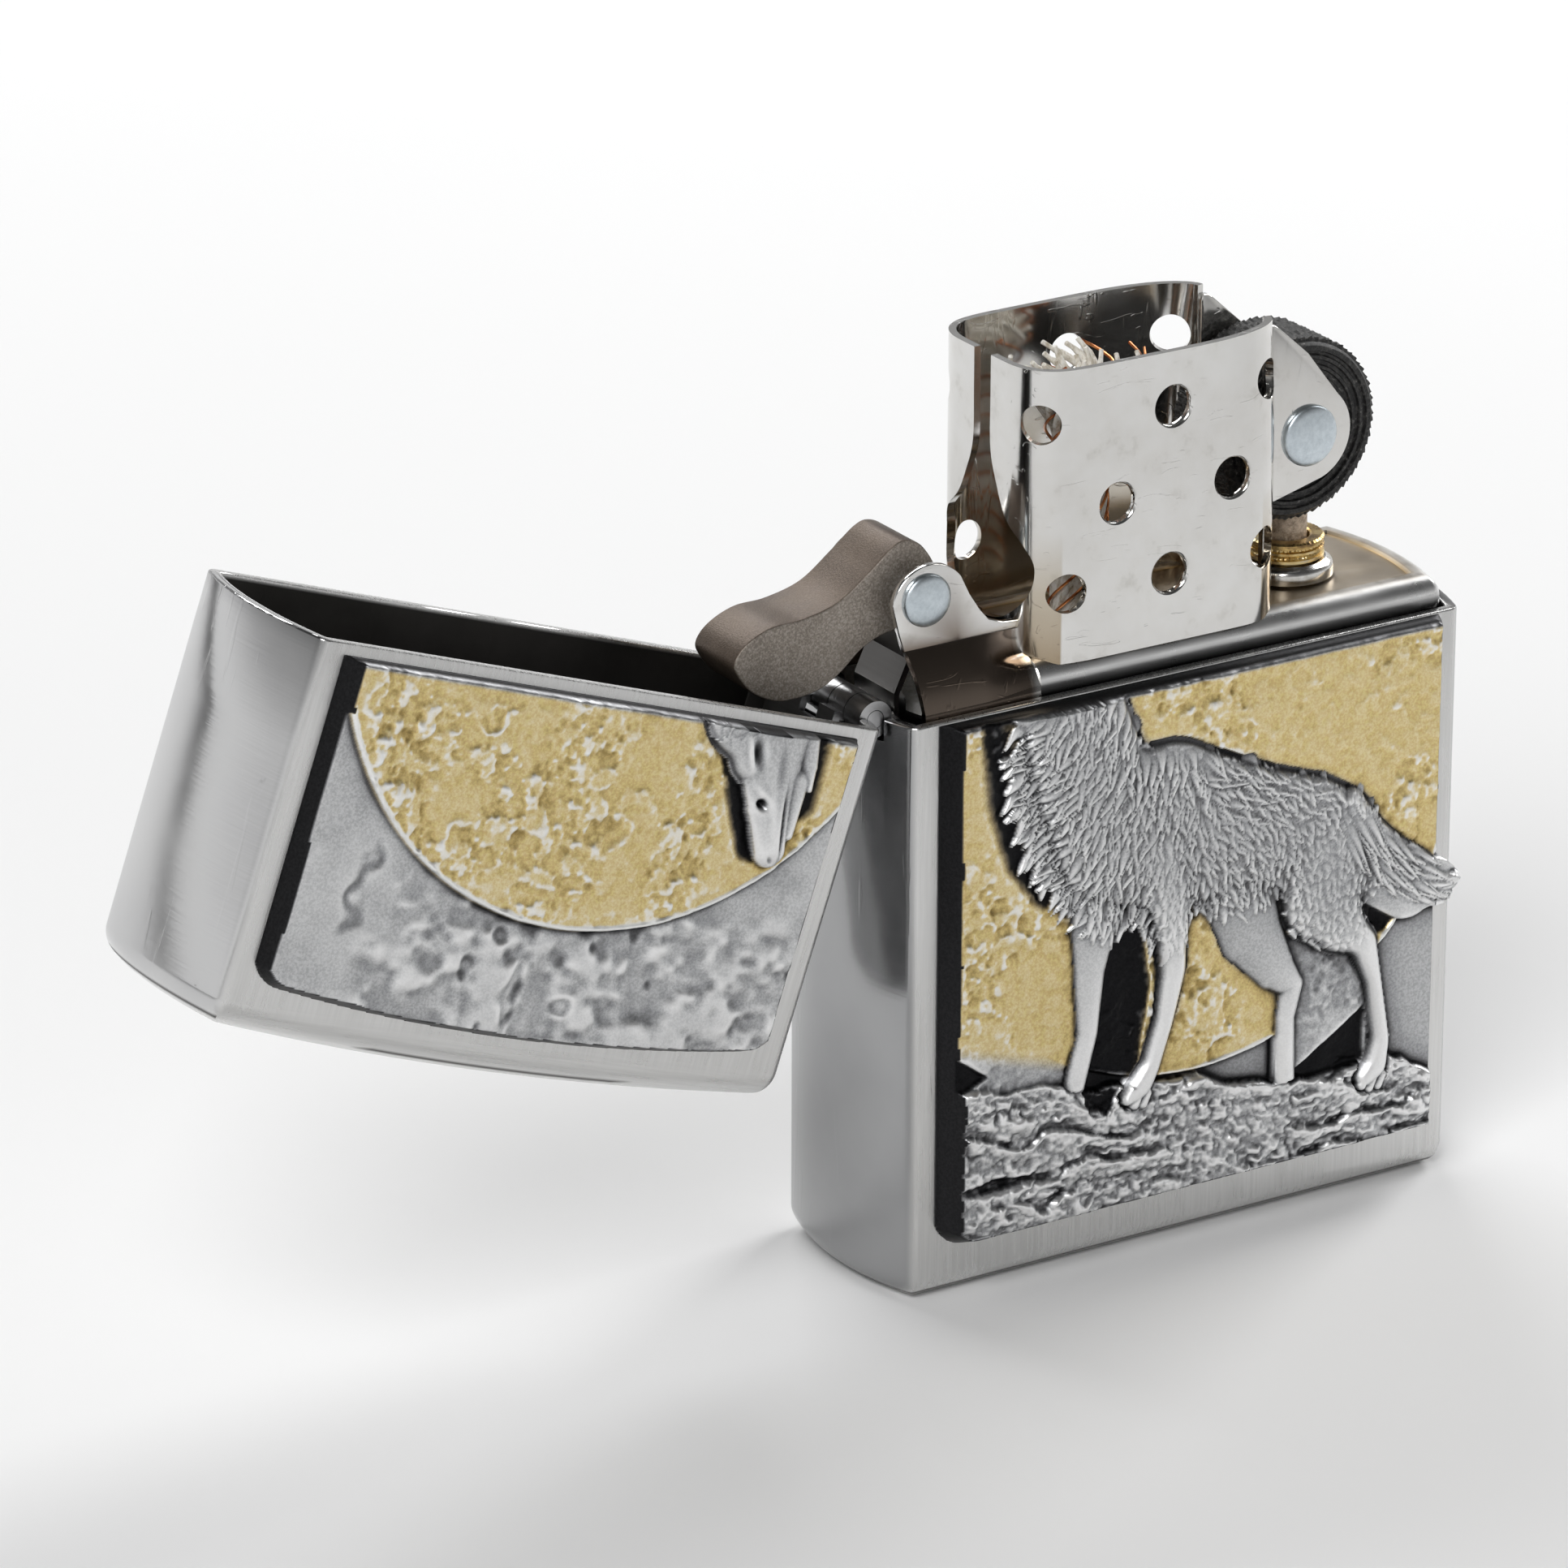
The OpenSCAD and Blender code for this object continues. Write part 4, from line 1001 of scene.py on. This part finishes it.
crevice = np.exp(-(((X + 13.4) / 2.4) ** 2 + ((Z - 6.6) / 0.4) ** 2) ** 2)
stone = stone - 0.5 * crevice
on_ground = step_up(ground_line - Z, -0.05, 0.22)
notch = step_up(15.2 - 0.75 * (X + 16.5) - Z, 0, 0.25) * step_up(Z - 12.3 - 0.35 * (X + 16.2), 0, 0.25)
notch = notch * (X < -12)
height = height * (1 - on_ground) + stone * on_ground
gold, plain = gold * (1 - on_ground), plain * (1 - on_ground) + 0.06 * on_ground

# Wolf: rounded limbs first, then overlapping locks of fur over the body.
far_legs = limbs(
    0.85, 1.4, [(-7.0, 21.5, 1.7), (-7.4, 18.0, 1.05), (-7.5, 14.4, 0.72), (-8.3, 11.4, 0.72)],
    [(2.4, 21.0, 2.4), (3.3, 18.2, 2.1), (5.0, 15.6, 1.35), (6.2, 14.3, 0.8), (5.8, 12.4, 0.68),
     (5.9, 8.4, 0.7)])
far_legs = np.where(on_ground < 0.5, far_legs, 0)
near_legs = limbs(
    1.0, 1.72, [(-2.9, 24, 2.2), (-2.2, 20.4, 1.4), (-1.9, 17.0, 1.0), (-2.5, 14.0, 0.78), (-3.3, 11.6, 0.76)],
    [(-3.3, 11.6, 0.8), (-4.0, 10.5, 0.95), (-4.7, 10.0, 0.75)],
    [(8.2, 21.8, 3.3), (8.1, 19.2, 2.8), (9.4, 17.2, 1.8), (11.0, 15.9, 1.05), (11.75, 13.4, 0.7),
     (12.35, 9.8, 0.72)],
    [(12.35, 9.7, 0.76), (12.0, 8.1, 0.95), (11.2, 7.5, 0.8)])
trunk = limbs(
    0.95, 1.6, [(-5.6, 25.2, 3.9), (-2.8, 25.8, 5.1), (2.4, 24.3, 4.2), (6.6, 23.5, 3.5), (8.4, 22.4, 3.5)],
    [(-6.0, 25.6, 3.9), (-7.6, 29.6, 3.8), (-8.7, 33.2, 3.6), (-9.9, 35.8, 2.3)])
trunk = np.maximum(trunk, limb([(7.2, 23.0, 3.4), (9.0, 20.6, 2.8)], 0.95, 1.62))
head = np.maximum.reduce([
    limb([(-10.1, 34.6, 2.6), (-10.6, 36.6, 1.95), (-11.15, 38.7, 1.42), (-11.7, 40.3, 1.12),
          (-12.0, 41.2, 1.0)], 1.0, 1.6, 0.6),
    limb([(-12.5, 37.3, 0.8), (-12.75, 39.0, 0.5), (-12.85, 40.2, 0.36)], 0.95, 1.36),
    limb([(-12.3, 34.6, 0.9), (-13.0, 36.4, 0.6), (-13.4, 37.6, 0.2)], 0.9, 1.25)])
tail = limb([(9.8, 24.6, 0.9), (10.9, 22.4, 1.4), (12.3, 19.9, 2.2), (14.1, 18.7, 2.15), (15.9, 18.4, 1.45),
             (17.1, 18.5, 0.5)], 0.85, 1.5)
solid = blurred(np.maximum(trunk, near_legs), 0.28)
body = np.where(np.maximum(trunk, near_legs) > 0.5, np.maximum(solid, 0.95), 0)
wolf = np.maximum.reduce([body, far_legs, head, tail])

# Each guide: place, direction of the fur in degrees, lock length and width.
guides = np.array([
    (-6.6, 34.5, 250, 3.0, 0.50), (-11.5, 34.0, 205, 2.7, 0.48), (-12.8, 30.5, 196, 2.9, 0.48),
    (-9.6, 30.5, 216, 3.2, 0.52), (-6.6, 30.0, 240, 3.0, 0.50), (-11.8, 26.6, 204, 2.9, 0.48),
    (-8.6, 26.0, 226, 3.0, 0.48), (-5.4, 27.0, 250, 2.8, 0.48), (-9.2, 22.8, 232, 2.6, 0.40),
    (-6.4, 22.4, 262, 2.8, 0.40), (-4.0, 31.0, 270, 2.4, 0.44), (-2.2, 27.4, 272, 2.0, 0.42),
    (-2.6, 23.5, 268, 1.7, 0.36), (0.8, 28.0, 322, 2.2, 0.36), (3.2, 26.6, 324, 1.9, 0.34),
    (2.0, 23.6, 300, 1.7, 0.36), (4.6, 22.4, 284, 1.4, 0.36), (6.8, 25.6, 320, 1.2, 0.34),
    (7.6, 22.6, 280, 0.9, 0.34), (9.6, 20.6, 272, 0.85, 0.34), (10.2, 23.2, 296, 1.2, 0.32),
    (9.8, 17.8, 284, 0.85, 0.30), (-9.8, 37.4, 250, 1.2, 0.30), (-7.4, 36.4, 256, 2.2, 0.40)])
fur = np.zeros_like(X)
thigh = limb([(8.2, 21.5, 3.2), (8.2, 19, 2.6), (9.4, 17.4, 1.5)], 1, 2)
foreleg = limb([(-2.9, 24, 2.2), (-2.3, 20.0, 1.2)], 1, 2)
furry = ((trunk > 0.5) & (Z < 35.2 + 0.6 * (X + 8))) | (thigh > 0.5) | (foreleg > 0.5)
lock_rng = np.random.default_rng(3)


def lock(root_x, root_z, angle, length, width, rise, wave):
    """Lays one curved tapering lock over the fur, standing on the body at its root and proud at its tip."""
    i0 = int(round((root_z - EZ[0]) / STEP))
    j0 = int(round((root_x - EX[0]) / STEP))
    base = wolf[i0, j0]
    if base < 1.0:
        return
    reach = int((length + width) / STEP) + 2
    rows, cols = slice(max(i0 - reach, 0), i0 + reach), slice(max(j0 - reach, 0), j0 + reach)
    dx, dz = X[rows, cols] - root_x, Z[rows, cols] - root_z
    c, s = math.cos(angle), math.sin(angle)
    u = (dx * c + dz * s) / length
    v = (-dx * s + dz * c) - wave * np.sin(u * 4.4) * length * 0.1
    w = width * np.clip(1.02 - np.clip(u, 0, 1) ** 2.2, 0.03, 1)
    inside = (u > 0) & (u < 1) & (np.abs(v) < w)
    ground = np.maximum(wolf[rows, cols], min(base, 1.42) * (1 - u) + 1.0 * u)
    rise_at = ground + rise * (0.1 + 0.9 * u) * (1 - 0.9 * (v / w) ** 2) - 0.05
    fur[rows, cols] = np.where(inside, rise_at, fur[rows, cols])


locks = []
for gx in np.arange(-15, 13, 0.46):
    for gz in np.arange(15.5, 38.6, 0.46):
        px, pz = gx + lock_rng.uniform(-0.2, 0.2), gz + lock_rng.uniform(-0.2, 0.2)
        jitter = lock_rng.uniform(-1, 1, 4)
        if not furry[int((pz - EZ[0]) / STEP), int((px - EX[0]) / STEP)]:
            continue
        weight = 1 / (((guides[:, 0] - px) ** 2 + (guides[:, 1] - pz) ** 2) ** 1.5 + 0.05)
        weight /= weight.sum()
        heading, length, width = (float((guides[:, k] * weight).sum()) for k in (2, 3, 4))
        locks.append((pz - 0.6 * px if px > -4 else pz + 1.2 * px + 7.2, px, pz,
                      math.radians(heading + 11 * jitter[0]),
                      length * (0.78 + 0.16 * jitter[1]), width * (1.0 + 0.2 * jitter[2]),
                      0.17 + 0.09 * min(length / 2.5, 1) + 0.04 * jitter[3], 1.6 * jitter[0] + jitter[3]))
for entry in sorted(locks):
    lock(*entry[1:])
# Tail: locks laid from its tip to its root, about four places that each have a direction in degrees.
TAIL_LOCKS, TAIL_AIMS = 90, (-62, -50, -34, -14)
TAIL_SPOTS = np.array([(10.3, 23.6), (11.5, 21.6), (12.8, 19.9), (14.5, 18.8)])
for k in range(TAIL_LOCKS):
    t = 0.79 * (1 - k / TAIL_LOCKS)
    spot = TAIL_SPOTS[int(t * 5)] + lock_rng.uniform(-1.3, 1.3, 2)
    aim = TAIL_AIMS[int(t * 5)] + lock_rng.uniform(-6, 6)
    lock(spot[0], spot[1], math.radians(aim), lock_rng.uniform(2.4, 3.8), 0.3, 0.28,
         lock_rng.uniform(-0.2, 0.2))
wolf = np.where(fur > 0, np.maximum(fur, wolf - 0.06), wolf)

# Face: eye, nostril, mouth line and the hollow of the ear.
for cx, cz, rx, rz, turn, depth in ((-10.45, 38.7, 0.3, 0.24, -35, -0.5), (-10.2, 38.1, 0.7, 0.22, -40, 0.09),
                                    (-12.0, 41.7, 0.3, 0.16, -50, -0.2), (-12.25, 39.9, 0.12, 1.6, 12, -0.35),
                                    (-9.3, 36.0, 0.28, 0.75, 24, -0.35), (-8.8, 36.1, 0.16, 0.9, 24, 0.12),
                                    (-11.3, 39.2, 0.25, 1.5, 20, 0.08), (-11.0, 36.6, 0.35, 1.2, 12, -0.12)):
    c, s = math.cos(math.radians(turn)), math.sin(math.radians(turn))
    u, v = (X - cx) * c + (Z - cz) * s, -(X - cx) * s + (Z - cz) * c
    wolf = np.where(wolf > 0.5, wolf + depth * np.exp(-((u / rx) ** 2 + (v / rz) ** 2)), wolf)
# Toes
for px, pz in ((-4.9, 9.9), (-4.45, 9.55), (-3.9, 9.5), (11.0, 7.2), (11.5, 6.95), (12.1, 7.0)):
    wolf = np.maximum(wolf, limb([(px + 0.3, pz + 0.6, 0.3), (px, pz, 0.36)], 1.0, 1.6))

shadow = blurred((wolf > 0.5).astype(float), 0.45)
wedge = (step_up(X, 5.9, 6.3) * step_up(11.4 - X, 0, 0.4) * step_up(Z, 8.2, 8.6)
         * step_up(8.7 + (X - 5.9) * 0.62 - Z, 0, 0.3))
# Painted shadows, each also sunk a little: between the legs, behind the head, before the throat and chest, and
# above the hock.
shadow_patches = np.maximum.reduce([
    limb([(-5.5, 20.2, 1.5), (-5.6, 16.5, 2.3), (-6.2, 12.8, 2.3), (-6.7, 10.4, 1.1)], 0, 1, 0.4), wedge, notch,
    0.9 * limb([(-8.4, 35.0, 1.7), (-9.5, 38.4, 1.4), (-10.8, 41.0, 1.2)], 0, 1, 1.1),
    0.6 * limb([(-12.9, 35.0, 1.4), (-13.4, 38.5, 1.0)], 0, 1, 1.1),
    0.65 * limb([(-13.7, 33.6, 1.2), (-13.3, 29.5, 1.3), (-12.1, 25.6, 1.2), (-10.4, 23.2, 1.0)], 0, 1, 1.3),
    limb([(12.1, 17.2, 1.1), (11.4, 19.8, 0.6)], 0, 1, 0.5)]) * (wolf < 0.5)
height = np.where(wolf > 0.5, wolf, height - 0.16 * shadow - 0.3 * shadow_patches)
plain = np.where(wolf > 0.5, 0, plain)
gold = np.where(wolf > 0.5, 0, gold * (1 - np.minimum(1.6 * shadow_patches, 1)))
gold = gold * (1 - 0.75 * step_up(shadow, 0.25, 0.7))
height = 0.42 + 0.95 * height
height = np.where(height > CAP, CAP + 0.25 * np.tanh((height - CAP) / 0.25), height)

# Sloping sides of the plaque; the tail alone passes its right edge.
tail_part = np.where(X > 15.2, np.where(tail > 0.5, 0.42 + 0.9 * np.maximum(tail, fur), 0), 0)
top_line = 53.8 - 1.2 * (X / 16.5) ** 2
corner = np.clip(1.6 - np.hypot(np.clip(-14.6 - X, 0, None), np.clip(5.0 - Z, 0, None)) + 0.4, 0, 9)
for part, low, high in (("case", 3.0, 33.93), ("lid", 34.7, 53.9)):
    across = np.minimum((X + 16.55) / 1.35, (16.6 - X) / 1.1)
    if part == "case":
        along = np.minimum((Z - low) / 0.5, (high - Z) / 0.12)
        along = np.minimum(along, corner / 1.0)
    else:
        along = np.minimum((Z - low) / 0.14, (top_line - Z) / 0.5)
        round_off = np.hypot(np.clip(np.abs(X - 0.03) - 14.9, 0, None), np.clip(Z - top_line + 1.9, 0, None))
        along = np.minimum(along, np.clip(1.9 - round_off, 0, 9))
    limit = 2.3 * np.clip(np.minimum(across, along), 0, 1)
    relief = np.minimum(height, limit)
    if part == "case":
        relief = np.maximum(relief, tail_part)
    rows = (EZ >= low - 0.2) & (EZ <= high + 0.2)
    local, keep = relief[rows], relief[rows] > 0.02
    full = np.maximum(height, tail_part)
    fine = (full - blurred(full, 0.2))[rows] / 0.075
    wide = (full - blurred(full, 0.95))[rows] / 0.42
    # dark in the hollows as patina, and darker in the painted shadows
    patina_and_shadow = np.clip(0.53 + plain[rows] + 0.26 * fine + 0.32 * wide - 0.8 * shadow_patches[rows], 0, 1)
    sloped = (local >= limit[rows] - 1e-6) & (local > tail_part[rows])
    patina_and_shadow = np.where(sloped, 0.03, patina_and_shadow)
    edge = np.minimum(Z - low, (high if part == "case" else 99) - Z)[rows]
    gold_map = np.where(sloped, 0, gold[rows] * step_up(edge, 0.15, 0.35))
    # cells whose four corners are kept make the face; their border drops to the case
    cells = keep[:-1, :-1] & keep[1:, :-1] & keep[:-1, 1:] & keep[1:, 1:]
    used = np.zeros_like(keep)
    for di in (0, 1):
        for dj in (0, 1):
            used[di:used.shape[0] - 1 + di, dj:used.shape[1] - 1 + dj] |= cells
    number = np.cumsum(used).reshape(used.shape) - 1
    count = int(used.sum())
    xs, zs = X[rows][used], Z[rows][used]
    verts = np.stack([xs, FACE_Y - local[used], zs], -1)
    ci, cj = np.nonzero(cells)
    quads = np.stack([number[ci, cj], number[ci, cj + 1], number[ci + 1, cj + 1], number[ci + 1, cj]], -1)
    nxt = {}
    pad = np.pad(cells, 1)
    for di, dj, a, b in ((-1, 0, (0, 0), (0, 1)), (1, 0, (1, 1), (1, 0)), (0, -1, (1, 0), (0, 0)),
                         (0, 1, (0, 1), (1, 1))):
        beyond = pad[1 + di:pad.shape[0] - 1 + di, 1 + dj:pad.shape[1] - 1 + dj]
        for i, j in zip(*np.nonzero(cells & ~beyond)):
            nxt[int(number[i + a[0], j + a[1]])] = int(number[i + b[0], j + b[1]])
    loop = [next(iter(nxt))]
    while nxt[loop[-1]] != loop[0]:
        loop.append(nxt[loop[-1]])
    drop = {v: count + k for k, v in enumerate(loop)}
    border = verts[loop].copy()
    border[:, 1] = BACK_Y
    verts = np.concatenate([verts, border])
    faces = quads.tolist()
    for k, v in enumerate(loop):
        w = loop[(k + 1) % len(loop)]
        faces.append((w, v, drop[v], drop[w]))
    faces.append(tuple(drop[v] for v in loop))
    plaque = make("emblem_" + part, verts, faces, 180)
    for name, values, at_border in (("hollow", patina_and_shadow, 0.1), ("gold", gold_map, 0.0)):
        mark(plaque, name, np.concatenate([values[used], np.full(len(loop), at_border)]))
    place(plaque, part, emblem_metal, "emblem_metal", part + "_emblem", lid=part == "lid")

# ---- floor, light and camera ----

floor = bpy.data.meshes.new("floor")
floor.from_pydata([(-4, -4, 0), (4, -4, 0), (4, 4, 0), (-4, 4, 0)], [], [(0, 1, 2, 3)])
floor = bpy.data.objects.new("floor", floor)
bpy.context.scene.collection.objects.link(floor)
m = Nodes("pale_floor", (0.86, 0.86, 0.86), metallic=0.0, roughness=0.9)
m.color(m.ramp(m.noise(3), (0.3, (0.85, 0.85, 0.85)), (0.7, (0.87, 0.87, 0.87))))
floor.data.materials.append(m.material)
floor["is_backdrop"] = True

world = bpy.data.worlds.new("studio")
bpy.context.scene.world = world
world.use_nodes = True
tree = world.node_tree
coords = tree.nodes.new("ShaderNodeTexCoord").outputs["Generated"]
parts = tree.nodes.new("ShaderNodeSeparateXYZ")
tree.links.new(coords, parts.inputs[0])
sky = tree.nodes.new("ShaderNodeValToRGB")
for at, grey in ((0.0, 0.95), (0.06, 0.95), (0.2, 0.5), (0.5, 0.12), (1.0, 0.03)):
    stops = sky.color_ramp.elements
    element = stops[0] if at == 0 else stops[-1] if at == 1 else stops.new(at)
    element.position = at
    element.color = (grey, grey, grey, 1)
tree.links.new(parts.outputs["Z"], sky.inputs["Fac"])
tree.links.new(sky.outputs["Color"], tree.nodes["Background"].inputs["Color"])
tree.nodes["Background"].inputs["Strength"].default_value = 1.0


def softbox(name, spot, aim, size, energy):
    light = bpy.data.lights.new(name, "AREA")
    light.shape, light.size, light.size_y, light.energy = "RECTANGLE", size[0], size[1], energy
    obj = bpy.data.objects.new(name, light)
    bpy.context.scene.collection.objects.link(obj)
    obj.location = spot
    obj.rotation_mode = "QUATERNION"
    obj.rotation_quaternion = (Vector(aim) - Vector(spot)).to_track_quat("-Z", "Y")


softbox("key", (-0.45, -0.35, 0.55), (0, 0, 0.03), (0.35, 0.35), 3.2)
softbox("right_fill", (0.6, 0.2, 0.45), (0, 0, 0.03), (0.3, 0.4), 3.0)
softbox("back_strip", (0.05, 0.55, 0.5), (0, 0, 0.03), (0.5, 0.2), 2.4)

yaw, pitch, roll = (math.radians(v) for v in (32.09, 21.54, 0.15))
ahead = Vector((math.sin(yaw) * math.cos(pitch), math.cos(yaw) * math.cos(pitch), -math.sin(pitch)))
right = Vector((math.cos(yaw), -math.sin(yaw), 0))
up = right.cross(ahead)
tilted_right = right * math.cos(roll) + up * math.sin(roll)
tilted_up = up * math.cos(roll) - right * math.sin(roll)
lens = bpy.data.cameras.new("photo_camera")
lens.sensor_width, lens.lens = 36, 206.36
lens.clip_start, lens.clip_end = 0.01, 20
camera = bpy.data.objects.new("photo_camera", lens)
bpy.context.scene.collection.objects.link(camera)
camera.matrix_world = Matrix((tilted_right, tilted_up, -ahead)).transposed().to_4x4()
camera.location = (-0.263163, -0.383980, 0.208563)
bpy.context.scene.camera = camera
bpy.context.scene.view_settings.view_transform = "Standard"

low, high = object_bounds()
